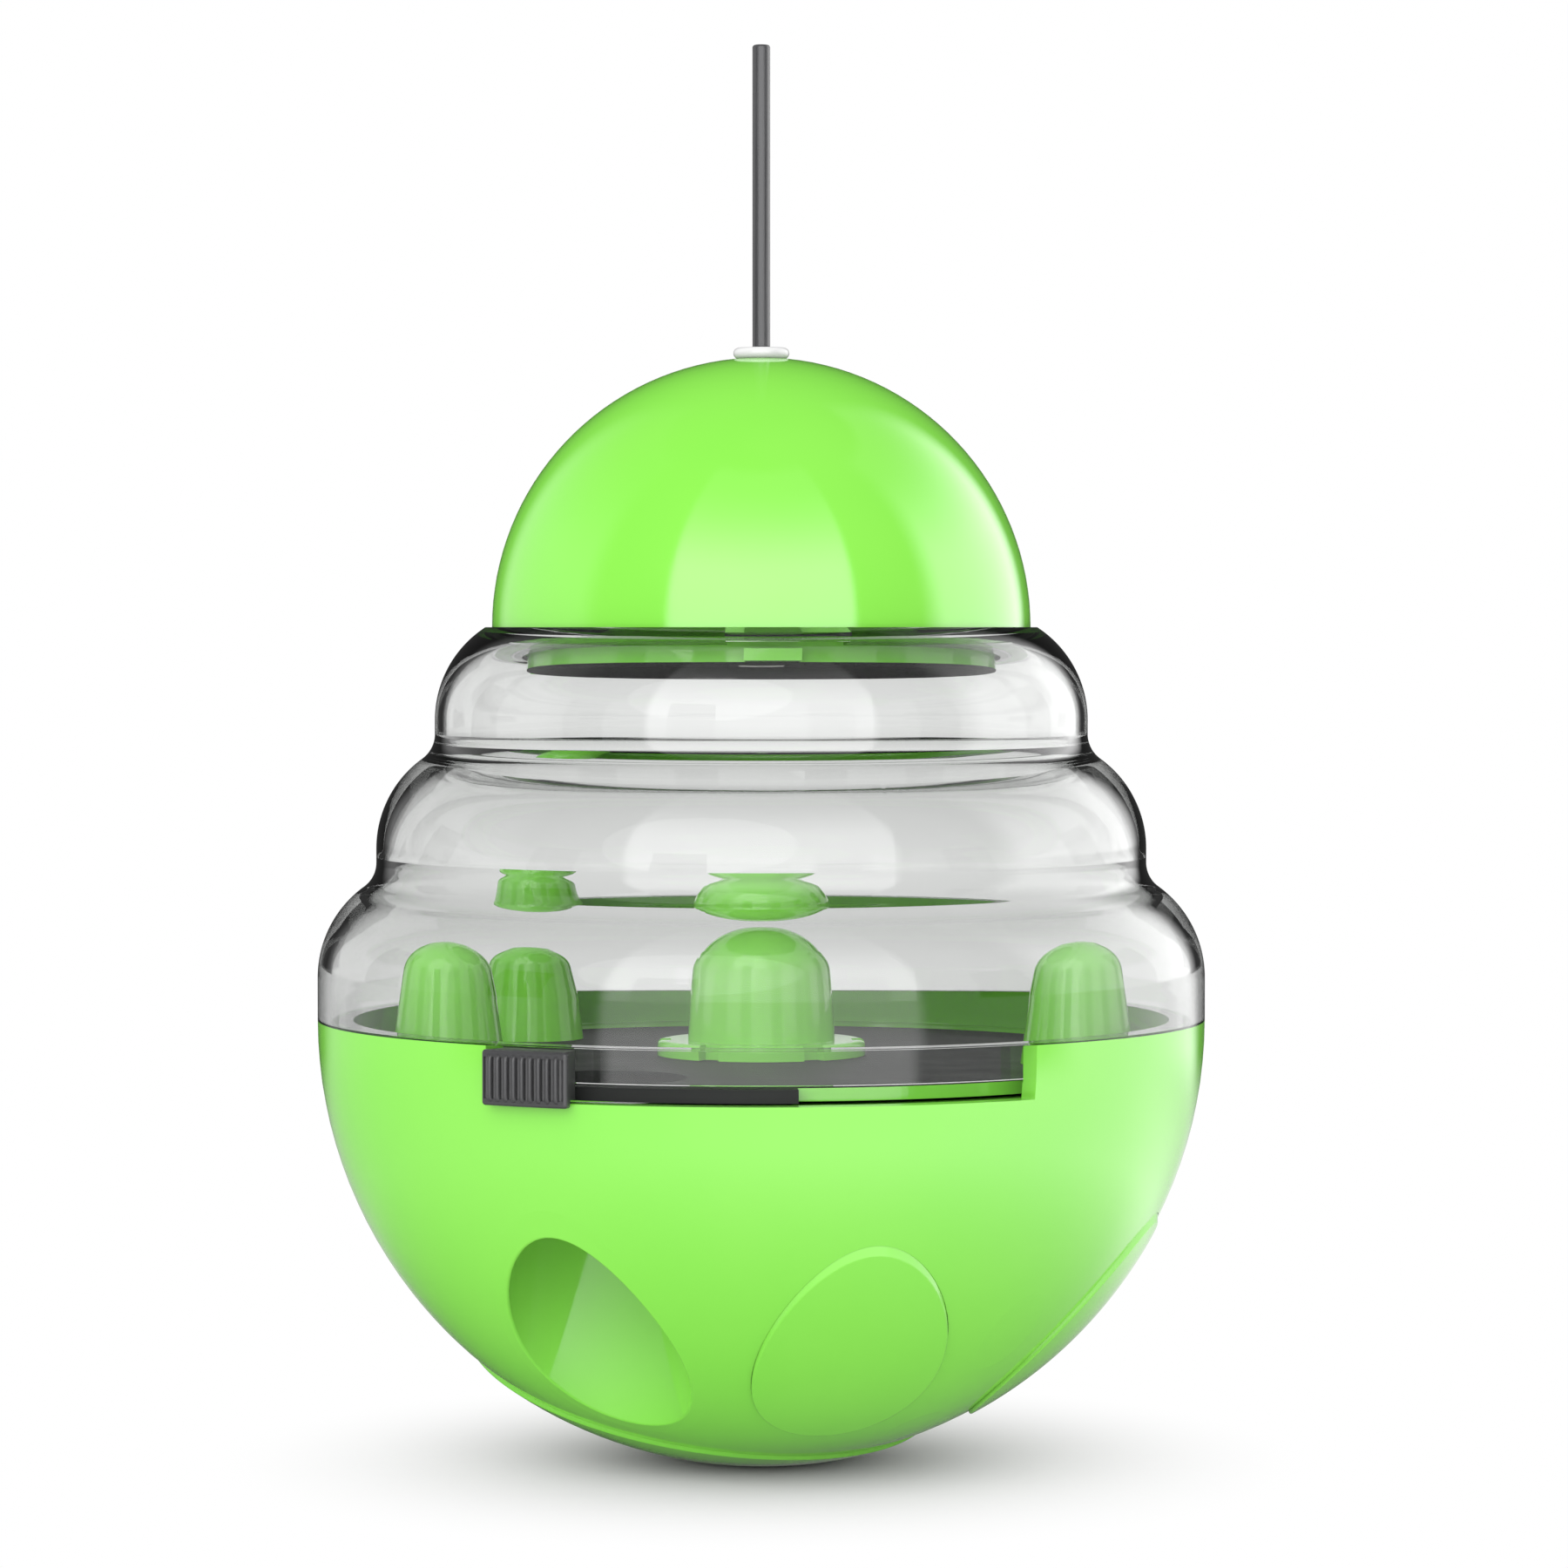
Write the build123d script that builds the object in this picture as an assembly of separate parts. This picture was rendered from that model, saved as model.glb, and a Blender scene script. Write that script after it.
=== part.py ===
from build123d import *
import math
import os

# Sizes in millimetres. The part stands on z = 0, +Z is up and -Y is the front.
# Azimuth is counted in degrees from the front towards +X.

# Base
BASE_R = 47.5
BASE_WALL = 2.2
PAD_PROUD = 0.4
SEAT_DEPTH = 0.8
HEAD_ROUND = 0.25
OUTLET_AZ = -29.3
OUTLET_INSET = 2.4
OUTLET_R = 9.3
OUTLET_ROUND = 0.25
CHUTE_WALL = 1.6
WINDOW_HALF_AZ = 35.6
WINDOW_DEPTH = 5.5
PAD_X = -0.1432 * BASE_R
PAD_Y = 0.1832 * BASE_R
PAD_R = 0.5347 * BASE_R
PLUG_R = 10.0
PLUG_SHANK_R = 8.5
PLUG_SHANK_WALL = 1.6
PLUG_RHO = 0.6968 * BASE_R
PLUG_GRIP = 3.3
PLUG_SHANK_DROP = 7.1
FRONT_PLUG_AZ = 15.7
SIDE_PLUG_AZ = 75.2

# Ballast
BALLAST_R = 0.3579 * BASE_R
BALLAST_TOP = 0.2842 * BASE_R
BALLAST_COLLAR = 1.6
CLAMP_THICK = 1.5
CLAMP_RING = 8.0
CLAMP_BOSS_REACH = 5.5
CLAMP_BOSS_R = 3.2

# Deck under the turning plate
DECK_GAP = 0.4
DECK_DROP = 5.7
DECK_THICK = 1.7
DECK_BOSS_R = 3.5
DECK_BOSS_RHO = 0.7579 * BASE_R
BOSS_AZ = 45.0
BEARING_RISE = 0.3
BEARING_R = 10.0

# Turning plate and knob
PLATE_THICK = 1.4
PLATE_GAP = 1.7
FLANGE_FROM_AZ = -47.0
FLANGE_TO_AZ = 4.8
SPINDLE_R = 6.0
FEED_INSET = 0.3
KNOB_AZ = -29.3
KNOB_HALF_AZ = 5.9
KNOB_SKIN = 0.9
KNOB_LAP = 0.4
KNOB_GAP = 0.3
KNOB_ROUND = 0.35
RIB_COUNT = 9
RIB_GROOVE_R = 0.32
ARM_HALF_AZ = 3.6
ARM_COVER = 0.8

# Domed posts and hub cap
POST_R = 6.0
POST_RHO = 0.7368 * BASE_R
POST_HEIGHT = 14.0
POST_BEND = 4.6
POST_DRAFT = 8.0
POST_WALL = 1.5
POST_PIN_R = 2.0
LEFT_POST_AZ = -69.5
RIGHT_POST_AZ = 71.5
REAR_POST_AZ = -132.0
CAP_R = 8.0
CAP_HEIGHT = 16.4
CAP_BEND = 6.8
CAP_DRAFT = 3.5
CAP_WALL = 1.6
CAP_CORE_R = 3.2
CAP_FLANGE_R = 11.2
CAP_FLANGE_THICK = 1.6
CAP_FLANGE_ROUND = 0.6
CAP_NOTCHES = 6
CAP_NOTCH_WIDTH = 2.4
CAP_NOTCH_DEPTH = 1.5

# Clear chamber
TIERS = 3
TIER_PITCH = 0.2888 * BASE_R
TIER_STEP = 0.132 * BASE_R
TIER_LOW_WALL = 4.55
SHOULDER_BEND = 0.2484 * BASE_R
NOTCH_BEND = 0.0695 * BASE_R
TOP_RISE = 0.2087 * BASE_R
CHAMBER_WALL = 0.9
INNER_BEND = 0.2512 * BASE_R
INNER_DROP = 0.0293 * BASE_R
INNER_TURN = 48.25
LOW_BEND = 0.1874 * BASE_R
LOW_TURN = 32.0
RIDGE_RUN = 0.0381 * BASE_R
RIDGE_LOW = 0.0779 * BASE_R
RIDGE_HIGH = 0.1339 * BASE_R
LIP_THICK = 1.5
SPIGOT_LENGTH = 3.6
SPIGOT_WALL = 1.5
FOOT_THICK = 1.0
MOUTH_RUN = 0.197 * BASE_R
ENTRY_DEPTH = 2.2
ENTRY_AZ = 5.6
ENTRY_HALF_AZ = 13.3

# Lid
DOME_LAP = 1.04
DOME_WALL = 1.84
LUGS = 3
LUG_AZ = 2.5
LUG_HALF_AZ = 6.2
LUG_GAP = 0.5
LUG_HEIGHT = 1.25
SKIRT_LENGTH = 3.3
SKIRT_WALL = 1.3
INSERT_THICK = 1.6
LINER_THICK = 1.4
SEAL_THICK = 0.75
SEAL_WIDTH = 1.0
LID_BOSS_SHARE = 0.52
LID_BOSS_R = 3.0
LID_BOSS_AZ = 60.0

# Wand
ROD_R = 0.95
ROD_REACH = 32.17
ROD_TIP_ROUND = 0.3
ROD_PLUG_R = 0.7
ROD_PLUG_SHARE = 0.7282
GROMMET_R = 3.0
GROMMET_RISE = 1.35
GROMMET_ROUND = 0.5
GROMMET_SHANK_R = 2.2
GROMMET_SHANK = 4.6
SOCKET_BOSS_R = 3.8
SOCKET_FLOOR = 1.6

# Screws
SCREW_R = 1.4
SCREW_HEAD_R = 2.7
SCREW_HEAD = 1.5
SCREW_GRIP = 8.0
HUB_SCREW_GRIP = 7.0
CLAMP_SCREW_GRIP = 5.5

# Clearances
RUN_CLEAR = 0.08
PUSH_CLEAR = 0.05
SCREW_CLEAR = 0.05
FREE_CLEAR = 0.3
LIFT_CLEAR = 0.4
OVERCUT = 5.0

# Levels and radii that follow from the sizes above
CENTRE_Z = BASE_R
SEAM_Z = BASE_R
INNER_R = BASE_R - BASE_WALL
OUTLET_RHO = INNER_R - OUTLET_R - OUTLET_INSET
PROUD_R = BASE_R + PAD_PROUD
SEAT_R = BASE_R - SEAT_DEPTH
WINDOW_SILL = SEAM_Z - WINDOW_DEPTH
DECK_TOP = SEAM_Z - DECK_DROP
DECK_UNDER = DECK_TOP - DECK_THICK
DECK_R = math.sqrt(INNER_R**2 - (CENTRE_Z - DECK_UNDER) ** 2) - DECK_GAP
PLUG_SHANK_TOP = DECK_UNDER - PLUG_SHANK_DROP
CLAMP_BOSS_RHO = BALLAST_R + CLAMP_BOSS_REACH
CLAMP_WINDOW_R = BALLAST_R - CLAMP_RING
PLATE_UNDER = DECK_TOP + BEARING_RISE
PLATE_TOP = PLATE_UNDER + PLATE_THICK
CAP_UNDER = PLATE_TOP + RUN_CLEAR
SPIGOT_R = INNER_R - 2 * PUSH_CLEAR
LAND_R = SPIGOT_R + PUSH_CLEAR
SPIGOT_UNDER = SEAM_Z - SPIGOT_LENGTH
PLATE_R = SPIGOT_R - SPIGOT_WALL - PLATE_GAP
FEED_R = OUTLET_R - FEED_INSET
KNOB_BACK_R = BASE_R + FREE_CLEAR
KNOB_FACE_R = KNOB_BACK_R + KNOB_SKIN
KNOB_LOW = WINDOW_SILL - KNOB_LAP
KNOB_HIGH = SEAM_Z - KNOB_GAP
ARM_END_R = KNOB_BACK_R - ARM_COVER
TOP_BEND = TOP_RISE - LIP_THICK
CHAMBER_TOP = SEAM_Z + TIER_LOW_WALL + (TIERS - 1) * TIER_PITCH + TOP_RISE
MOUTH_R = BASE_R - (TIERS - 1) * TIER_STEP - MOUTH_RUN
ENTRY_R = MOUTH_R + ENTRY_DEPTH
LUG_R = ENTRY_R - LUG_GAP
SKIRT_R = MOUTH_R - LIFT_CLEAR
SKIRT_UNDER = CHAMBER_TOP - SKIRT_LENGTH
DOME_R = ENTRY_R + DOME_LAP
DOME_IN_R = DOME_R - DOME_WALL
LID_BOSS_RHO = LID_BOSS_SHARE * DOME_R
INSERT_R = DOME_IN_R - 2 * PUSH_CLEAR
INSERT_TOP = CHAMBER_TOP + INSERT_THICK
SEAL_OUT_R = DOME_IN_R - FREE_CLEAR - PUSH_CLEAR
SEAL_IN_R = SEAL_OUT_R - SEAL_WIDTH
GROMMET_SEAT = CHAMBER_TOP + math.sqrt(DOME_R**2 - GROMMET_R**2)
GROMMET_TOP = GROMMET_SEAT + GROMMET_RISE
GROMMET_UNDER = GROMMET_SEAT - GROMMET_SHANK
ROD_TOP = GROMMET_TOP + ROD_REACH
ROD_PLUG_LENGTH = ROD_PLUG_SHARE * DOME_R
PLUG_BORE_R = ROD_PLUG_R + PUSH_CLEAR
SOCKET_END = GROMMET_TOP - ROD_PLUG_LENGTH - PUSH_CLEAR
UP = (Align.CENTER, Align.CENTER, Align.MIN)


def spot(az, rho, z=0.0):
    """Place at an azimuth, a distance from the axis and a height."""
    a = math.radians(az)
    return Pos(rho * math.sin(a), -rho * math.cos(a), z)


def rod(r, low, high):
    """Upright cylinder on the axis between two heights."""
    return Pos(0, 0, low) * Cylinder(r, high - low, align=UP)


def tube(r_in, r_out, low, high):
    """Upright tube on the axis between two heights."""
    return rod(r_out, low, high) - rod(r_in, low - 1, high + 1)


def ball(r, z=CENTRE_Z):
    """Full ball centred on the axis."""
    return Pos(0, 0, z) * Sphere(r)


def wedge(r_in, r_out, low, high, az_from, az_to):
    """Ring sector between two radii, heights and azimuths."""
    corners = [(0, -r_in, low), (0, -r_out, low), (0, -r_out, high), (0, -r_in, high)]
    face = make_face(Polyline(*corners, close=True))
    return Rot(0, 0, az_from) * revolve(face, Axis.Z, az_to - az_from)


def turned(section):
    """Solid of revolution about the axis from a half section."""
    return revolve(Plane.XZ * section, Axis.Z)


def every(count, shape, first=0.0):
    """Copies of a shape set out evenly round the axis."""
    return [Rot(0, 0, first + k * 360 / count) * shape for k in range(count)]


def bosses(count, az, rho, r, low, high):
    """Upright cylinders set out evenly at one distance from the axis."""
    return every(count, spot(0, rho) * rod(r, low, high), az)


def pan_screw(grip):
    """Pan-head screw whose head seats at z = 0 and whose shank points up."""
    head = fillet((rod(SCREW_HEAD_R, -SCREW_HEAD, 0)).edges().sort_by(Axis.Z)[0], 0.5)
    slot = Pos(0, 0, -SCREW_HEAD) * (Box(3.0, 0.6, 1.2) + Box(0.6, 3.0, 1.2))
    return head + rod(SCREW_R, 0, grip) - slot


def sunk_screw(grip):
    """Countersunk screw whose flat head ends at z = 0 and whose shank points down."""
    head = Pos(0, 0, -SCREW_HEAD / 2) * Cone(SCREW_R, SCREW_HEAD_R, SCREW_HEAD)
    slot = Box(3.0, 0.6, 1.2) + Box(0.6, 3.0, 1.2)
    return head + rod(SCREW_R, -grip, -SCREW_HEAD / 2) - slot


def dome_face(r, bend, height, draft):
    """Half section of a bell with a leaning side and a rounded top, standing on z = 0."""
    lean = math.radians(draft)
    mid_z = height - bend
    mid_r = r - (bend + mid_z * math.sin(lean)) / math.cos(lean)
    top = CenterArc((mid_r, mid_z), bend, draft, 90 - draft)
    sides = Polyline((mid_r, height), (0, height), (0, 0), (r, 0), top @ 0)
    return make_face(Curve() + [top, sides])


def bar_face(r, low, high):
    """Half section of a cylinder on the axis."""
    return make_face(Polyline((0, low), (r, low), (r, high), (0, high), close=True))


def bend_z(index):
    """Height where the straight wall of a tier ends, counted from the seam."""
    return SEAM_Z + TIER_LOW_WALL + TIER_PITCH * index


def outer_section():
    """Half section of the tiers from outside, each shoulder running into the next wall."""
    both = SHOULDER_BEND + NOTCH_BEND
    turn = math.degrees(math.acos(1 - TIER_STEP / both))
    lines = [Line((BASE_R, SEAM_Z), (BASE_R, bend_z(0)))]
    for index in range(TIERS - 1):
        wall_r = BASE_R - TIER_STEP * index
        lines.append(CenterArc((wall_r - SHOULDER_BEND, bend_z(index)), SHOULDER_BEND, 0, turn))
        hollow_r = wall_r - TIER_STEP + NOTCH_BEND
        hollow_z = bend_z(index) + both * math.sin(math.radians(turn))
        lines.append(CenterArc((hollow_r, hollow_z), NOTCH_BEND, 180 + turn, -turn))
        lines.append(Line((wall_r - TIER_STEP, hollow_z), (wall_r - TIER_STEP, bend_z(index + 1))))
    top_r = BASE_R - TIER_STEP * (TIERS - 1) - SHOULDER_BEND
    top_turn = math.degrees(math.asin(TOP_RISE / SHOULDER_BEND))
    crown = CenterArc((top_r, bend_z(TIERS - 1)), SHOULDER_BEND, 0, top_turn)
    lines.append(crown)
    lines.append(Polyline(crown @ 1, (0, CHAMBER_TOP), (0, SEAM_Z), (BASE_R, SEAM_Z)))
    return make_face(Curve() + lines)


def circles_meet(first, first_r, second, second_r):
    """Higher of the two points where two circles of a section cross."""
    across = second[0] - first[0]
    up = second[1] - first[1]
    apart = math.hypot(across, up)
    along = (first_r ** 2 - second_r ** 2 + apart ** 2) / (2 * apart)
    aside = math.copysign(math.sqrt(first_r ** 2 - along ** 2), across)
    r = first[0] + (along * across - aside * up) / apart
    z = first[1] + (along * up + aside * across) / apart
    return r, z


def inner_section(low):
    """Half section of the room in the tiers, with a round ridge inside each notch."""
    lines = []
    start = LOW_TURN
    turn = math.radians(INNER_TURN)
    for index in range(TIERS - 1):
        next_r = BASE_R - TIER_STEP * (index + 1) - CHAMBER_WALL
        next_mid = (next_r - INNER_BEND, bend_z(index + 1) - INNER_DROP)
        mid = (next_mid[0] + TIER_STEP, next_mid[1] - TIER_PITCH)
        shoulder = CenterArc(mid, INNER_BEND, start, INNER_TURN - start)
        slope_end = shoulder @ 1 + Vector(-RIDGE_RUN * math.sin(turn), RIDGE_RUN * math.cos(turn))
        ridge_r = slope_end.X - RIDGE_LOW * (1 - math.cos(turn))
        ridge_z = slope_end.Y + RIDGE_LOW * math.sin(turn)
        under = CenterArc((ridge_r + RIDGE_LOW, ridge_z), RIDGE_LOW, 180 + INNER_TURN, -INNER_TURN)
        over_mid = (ridge_r + RIDGE_HIGH, ridge_z)
        if index + 2 < TIERS:
            corner_z = circles_meet(next_mid, INNER_BEND, over_mid, RIDGE_HIGH)[1]
            start = math.degrees(math.asin((corner_z - next_mid[1]) / INNER_BEND))
        else:
            corner_z = ridge_z + math.sqrt(RIDGE_HIGH ** 2 - (over_mid[0] - next_r) ** 2)
        back = math.degrees(math.asin((corner_z - ridge_z) / RIDGE_HIGH))
        over = CenterArc(over_mid, RIDGE_HIGH, 180, -back)
        lines += [shoulder, Line(shoulder @ 1, slope_end), under, over]
    top_r = next_r - TOP_BEND
    top_z = bend_z(TIERS - 1)
    lines.append(Line(over @ 1, (next_r, top_z)))
    lines.append(CenterArc((top_r, top_z), TOP_BEND, 0, 90))
    low_turn = math.radians(LOW_TURN)
    tighter = INNER_BEND - LOW_BEND
    low_r = BASE_R - CHAMBER_WALL - INNER_BEND + tighter * math.cos(low_turn)
    wall_top = bend_z(0) - INNER_DROP + tighter * math.sin(low_turn)
    lines.append(CenterArc((low_r, wall_top), LOW_BEND, 0, LOW_TURN))
    wall_r = low_r + LOW_BEND
    ceiling = top_z + TOP_BEND
    lines.append(Polyline((top_r, ceiling), (0, ceiling), (0, low), (wall_r, low), (wall_r, wall_top)))
    return make_face(Curve() + lines)


def soft_rim(shape, centre, r):
    """Round the edge where the proud face of a round head meets its side."""
    rim = []
    for edge in shape.edges():
        mid = edge @ 0.5
        on_side = abs(math.hypot(mid.X - centre.X, mid.Y - centre.Y) - r) < 0.01
        on_face = abs(math.dist((mid.X, mid.Y, mid.Z), (0, 0, CENTRE_Z)) - PROUD_R) < 0.01
        if on_side and on_face:
            rim.append(edge)
    return fillet(rim, HEAD_ROUND)


def save(name, shape):
    """Write one node, as a group where it has several solids."""
    solids = shape if isinstance(shape, list) else [shape]
    flat = [s for item in solids for s in item.solids()]
    whole = flat[0] if len(flat) == 1 else Compound(children=flat)
    export_step(whole, os.path.join("parts", name + ".step"))


os.makedirs("parts", exist_ok=True)
BELOW_SEAM = rod(BASE_R + OVERCUT, -OVERCUT, SEAM_Z)

# Base shell with its chute, bosses, seats and window
shell = (ball(BASE_R) - ball(INNER_R)) & BELOW_SEAM
solid_base = ball(BASE_R) & BELOW_SEAM
chute_at = spot(OUTLET_AZ, OUTLET_RHO)
chute = chute_at * rod(OUTLET_R + CHUTE_WALL, -1, DECK_UNDER)
deck_bosses = bosses(3, BOSS_AZ, DECK_BOSS_RHO, DECK_BOSS_R, -1, DECK_UNDER)
clamp_bosses = bosses(3, BOSS_AZ, CLAMP_BOSS_RHO, CLAMP_BOSS_R, -1, BALLAST_TOP)
collar = tube(BALLAST_R + PUSH_CLEAR, BALLAST_R + PUSH_CLEAR + BALLAST_COLLAR, -1, BALLAST_TOP - 1)
inside = collar + [chute] + deck_bosses + clamp_bosses
base = shell + (inside & solid_base)
base -= chute_at * rod(OUTLET_R, -OVERCUT, SEAM_Z)
base -= tube(LAND_R - BASE_WALL, LAND_R, SPIGOT_UNDER - FREE_CLEAR, SEAM_Z + OVERCUT)
window_in_r = INNER_R - 2 * BASE_WALL
base -= wedge(window_in_r, BASE_R + OVERCUT, WINDOW_SILL, SEAM_Z + OVERCUT, -WINDOW_HALF_AZ, WINDOW_HALF_AZ)
outer_skin = ball(BASE_R + OVERCUT) - ball(SEAT_R)
pad_at = Pos(PAD_X, PAD_Y, 0)
base -= (pad_at * rod(PAD_R + PUSH_CLEAR, -OVERCUT, CENTRE_Z)) & outer_skin
for plug_az in (FRONT_PLUG_AZ, SIDE_PLUG_AZ):
    base -= (spot(plug_az, PLUG_RHO) * rod(PLUG_R + PUSH_CLEAR, -OVERCUT, CENTRE_Z)) & outer_skin
    base -= spot(plug_az, PLUG_RHO) * rod(PLUG_SHANK_R + PUSH_CLEAR, -OVERCUT, CENTRE_Z)
for hole in bosses(3, BOSS_AZ, DECK_BOSS_RHO, SCREW_R + SCREW_CLEAR, DECK_UNDER - SCREW_GRIP, SEAM_Z):
    base -= hole
clamp_grip = BALLAST_TOP - CLAMP_SCREW_GRIP + CLAMP_THICK - 0.5
for hole in bosses(3, BOSS_AZ, CLAMP_BOSS_RHO, SCREW_R + SCREW_CLEAR, clamp_grip, BALLAST_TOP + 1):
    base -= hole


def is_outlet_rim(edge):
    """True for the edge where the outlet leaves the ball."""
    mid = edge.center()
    low = edge.bounding_box()
    wide = abs(low.size.X - 2 * OUTLET_R) < 0.2
    reach = math.dist((mid.X, mid.Y, mid.Z), (0, 0, CENTRE_Z))
    return wide and low.size.Z > 5 and reach > INNER_R - 6


rim = [e for e in base.edges() if is_outlet_rim(e)]
rim = sorted(rim, key=lambda e: e.bounding_box().min.Z)[:1]
base = fillet(rim, OUTLET_ROUND)
save("base_shell", base)

# Bottom pad, cut flat where the toy rests
pad = (pad_at * rod(PAD_R, -OVERCUT, CENTRE_Z)) & (ball(PROUD_R) - ball(SEAT_R))
pad = soft_rim(pad, pad_at.position, PAD_R)
pad -= rod(BASE_R, -OVERCUT, 0)
save("bottom_pad", pad)


def plug(az):
    """Blanking plug with a round head and a split-free hollow shank."""
    head = (spot(az, PLUG_RHO) * rod(PLUG_R, -OVERCUT, CENTRE_Z)) & (ball(PROUD_R) - ball(SEAT_R))
    wall = tube(PLUG_SHANK_R - PLUG_SHANK_WALL, PLUG_SHANK_R, -OVERCUT, PLUG_SHANK_TOP)
    shank = (spot(az, PLUG_RHO) * wall) & (ball(SEAT_R + 0.2) - ball(INNER_R - PLUG_GRIP))
    return soft_rim(head, spot(az, PLUG_RHO).position, PLUG_R) + shank


save("front_plug", plug(FRONT_PLUG_AZ))
save("side_plug", plug(SIDE_PLUG_AZ))

# Ballast and the clamp that holds it down
ballast = rod(BALLAST_R, 0, BALLAST_TOP) & ball(INNER_R)
ballast = chamfer(ballast.edges().sort_by(Axis.Z)[-1], 0.8)
save("ballast", ballast)
clamp_top = BALLAST_TOP + CLAMP_THICK
clamp = rod(BALLAST_R - 1, BALLAST_TOP, clamp_top)
clamp += bosses(3, BOSS_AZ, CLAMP_BOSS_RHO, CLAMP_BOSS_R, BALLAST_TOP, clamp_top)
arm = Pos(0, -CLAMP_BOSS_RHO / 2, BALLAST_TOP) * Box(2 * CLAMP_BOSS_R, CLAMP_BOSS_RHO, CLAMP_THICK, align=UP)
clamp += every(3, arm, BOSS_AZ)
clamp -= rod(CLAMP_WINDOW_R, 0, SEAM_Z)
for hole in bosses(3, BOSS_AZ, CLAMP_BOSS_RHO, SCREW_R + SCREW_CLEAR, 0, SEAM_Z):
    clamp -= hole
save("ballast_clamp", clamp)
low_screw = spot(0, CLAMP_BOSS_RHO, clamp_top) * Rot(180, 0, 0) * pan_screw(CLAMP_SCREW_GRIP)
save("ballast_screws", every(3, low_screw, BOSS_AZ))

# Deck with its bearing ring and spindle
deck = rod(DECK_R, DECK_UNDER, DECK_TOP)
deck += rod(BEARING_R, DECK_TOP, PLATE_UNDER)
deck += rod(SPINDLE_R, DECK_TOP, CAP_UNDER)
deck -= chute_at * rod(OUTLET_R, DECK_UNDER - 1, SEAM_Z)
deck -= rod(SCREW_R + SCREW_CLEAR, DECK_UNDER - 1, SEAM_Z)
sunk = Pos(0, 0, -SCREW_HEAD / 2) * Cone(SCREW_R + SCREW_CLEAR, SCREW_HEAD_R + SCREW_CLEAR, SCREW_HEAD)
sunk += rod(SCREW_R + SCREW_CLEAR, -SCREW_GRIP, -SCREW_HEAD / 2)
for hole in every(3, spot(0, DECK_BOSS_RHO, DECK_TOP) * sunk, BOSS_AZ):
    deck -= hole
save("deck", deck)
deck_screw = spot(0, DECK_BOSS_RHO, DECK_TOP) * sunk_screw(SCREW_GRIP)
save("deck_screws", every(3, deck_screw, BOSS_AZ))

# Turning plate with the feed hole and the arm to the knob
plate = rod(PLATE_R, PLATE_UNDER, PLATE_TOP)
plate += wedge(PLATE_R - OVERCUT, DECK_R, PLATE_UNDER, PLATE_TOP, FLANGE_FROM_AZ, FLANGE_TO_AZ)
arm_under = WINDOW_SILL + FREE_CLEAR
plate += wedge(PLATE_R, ARM_END_R, arm_under, PLATE_TOP, KNOB_AZ - ARM_HALF_AZ, KNOB_AZ + ARM_HALF_AZ)
plate -= chute_at * rod(FEED_R, DECK_UNDER, SEAM_Z)
plate -= rod(SPINDLE_R + RUN_CLEAR, DECK_UNDER, SEAM_Z)
post_places = {"left_post": LEFT_POST_AZ, "right_post": RIGHT_POST_AZ, "rear_post": REAR_POST_AZ}
for az in post_places.values():
    plate -= spot(az, POST_RHO) * rod(POST_PIN_R + PUSH_CLEAR, DECK_UNDER, SEAM_Z)
save("shutter_plate", plate)

# Knob with upright grooves
knob_from = KNOB_AZ - KNOB_HALF_AZ
knob_to = KNOB_AZ + KNOB_HALF_AZ
knob = wedge(KNOB_BACK_R, KNOB_FACE_R, KNOB_LOW, KNOB_HIGH, knob_from, knob_to)
outer = [e for e in knob.edges() if math.hypot(e.center().X, e.center().Y) > KNOB_BACK_R + 0.2]
knob = fillet(outer, KNOB_ROUND)
groove = rod(RIB_GROOVE_R, KNOB_LOW + 0.7, KNOB_HIGH - 0.7)
rib_pitch = (2 * KNOB_HALF_AZ - 1.6) / RIB_COUNT
for k in range(RIB_COUNT + 1):
    knob -= spot(knob_from + 0.8 + k * rib_pitch, KNOB_FACE_R) * groove
stem_in = SPIGOT_R + FREE_CLEAR
knob += wedge(stem_in, KNOB_BACK_R + 0.2, arm_under, KNOB_HIGH, knob_from + 0.7, knob_to - 0.7)
knob -= wedge(stem_in - 1, ARM_END_R, arm_under, PLATE_TOP, KNOB_AZ - ARM_HALF_AZ, KNOB_AZ + ARM_HALF_AZ)
save("shutter_knob", knob)

# Domed posts on the plate
for name, az in post_places.items():
    section = dome_face(POST_R, POST_BEND, POST_HEIGHT, POST_DRAFT)
    section -= dome_face(POST_R - POST_WALL, POST_BEND - POST_WALL, POST_HEIGHT - POST_WALL, POST_DRAFT)
    section += bar_face(POST_PIN_R, -PLATE_THICK, POST_HEIGHT - POST_WALL / 2)
    save(name, spot(az, POST_RHO, PLATE_TOP) * turned(section))

# Hub cap that keeps the plate on its spindle
section = dome_face(CAP_R, CAP_BEND, CAP_HEIGHT, CAP_DRAFT)
section -= dome_face(CAP_R - CAP_WALL, CAP_BEND - CAP_WALL, CAP_HEIGHT - CAP_WALL, CAP_DRAFT)
section += bar_face(CAP_FLANGE_R, 0, CAP_FLANGE_THICK)
section += bar_face(CAP_CORE_R, 0, CAP_HEIGHT - CAP_WALL / 2)
section -= bar_face(SCREW_R + SCREW_CLEAR, -1, HUB_SCREW_GRIP)
edge = [v for v in section.vertices() if v.X > CAP_FLANGE_R - 0.01 and v.Y > CAP_FLANGE_THICK - 0.01]
cap = turned(fillet(edge, CAP_FLANGE_ROUND))
cap_notch = Pos(0, -CAP_FLANGE_R, 0) * Box(CAP_NOTCH_WIDTH, CAP_NOTCH_DEPTH * 2, CAP_HEIGHT)
for notch in every(CAP_NOTCHES, cap_notch, 180 / CAP_NOTCHES):
    cap -= notch
save("hub_cap", Pos(0, 0, CAP_UNDER) * cap)
hub_grip = CAP_UNDER - DECK_UNDER + HUB_SCREW_GRIP - 0.5
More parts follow.
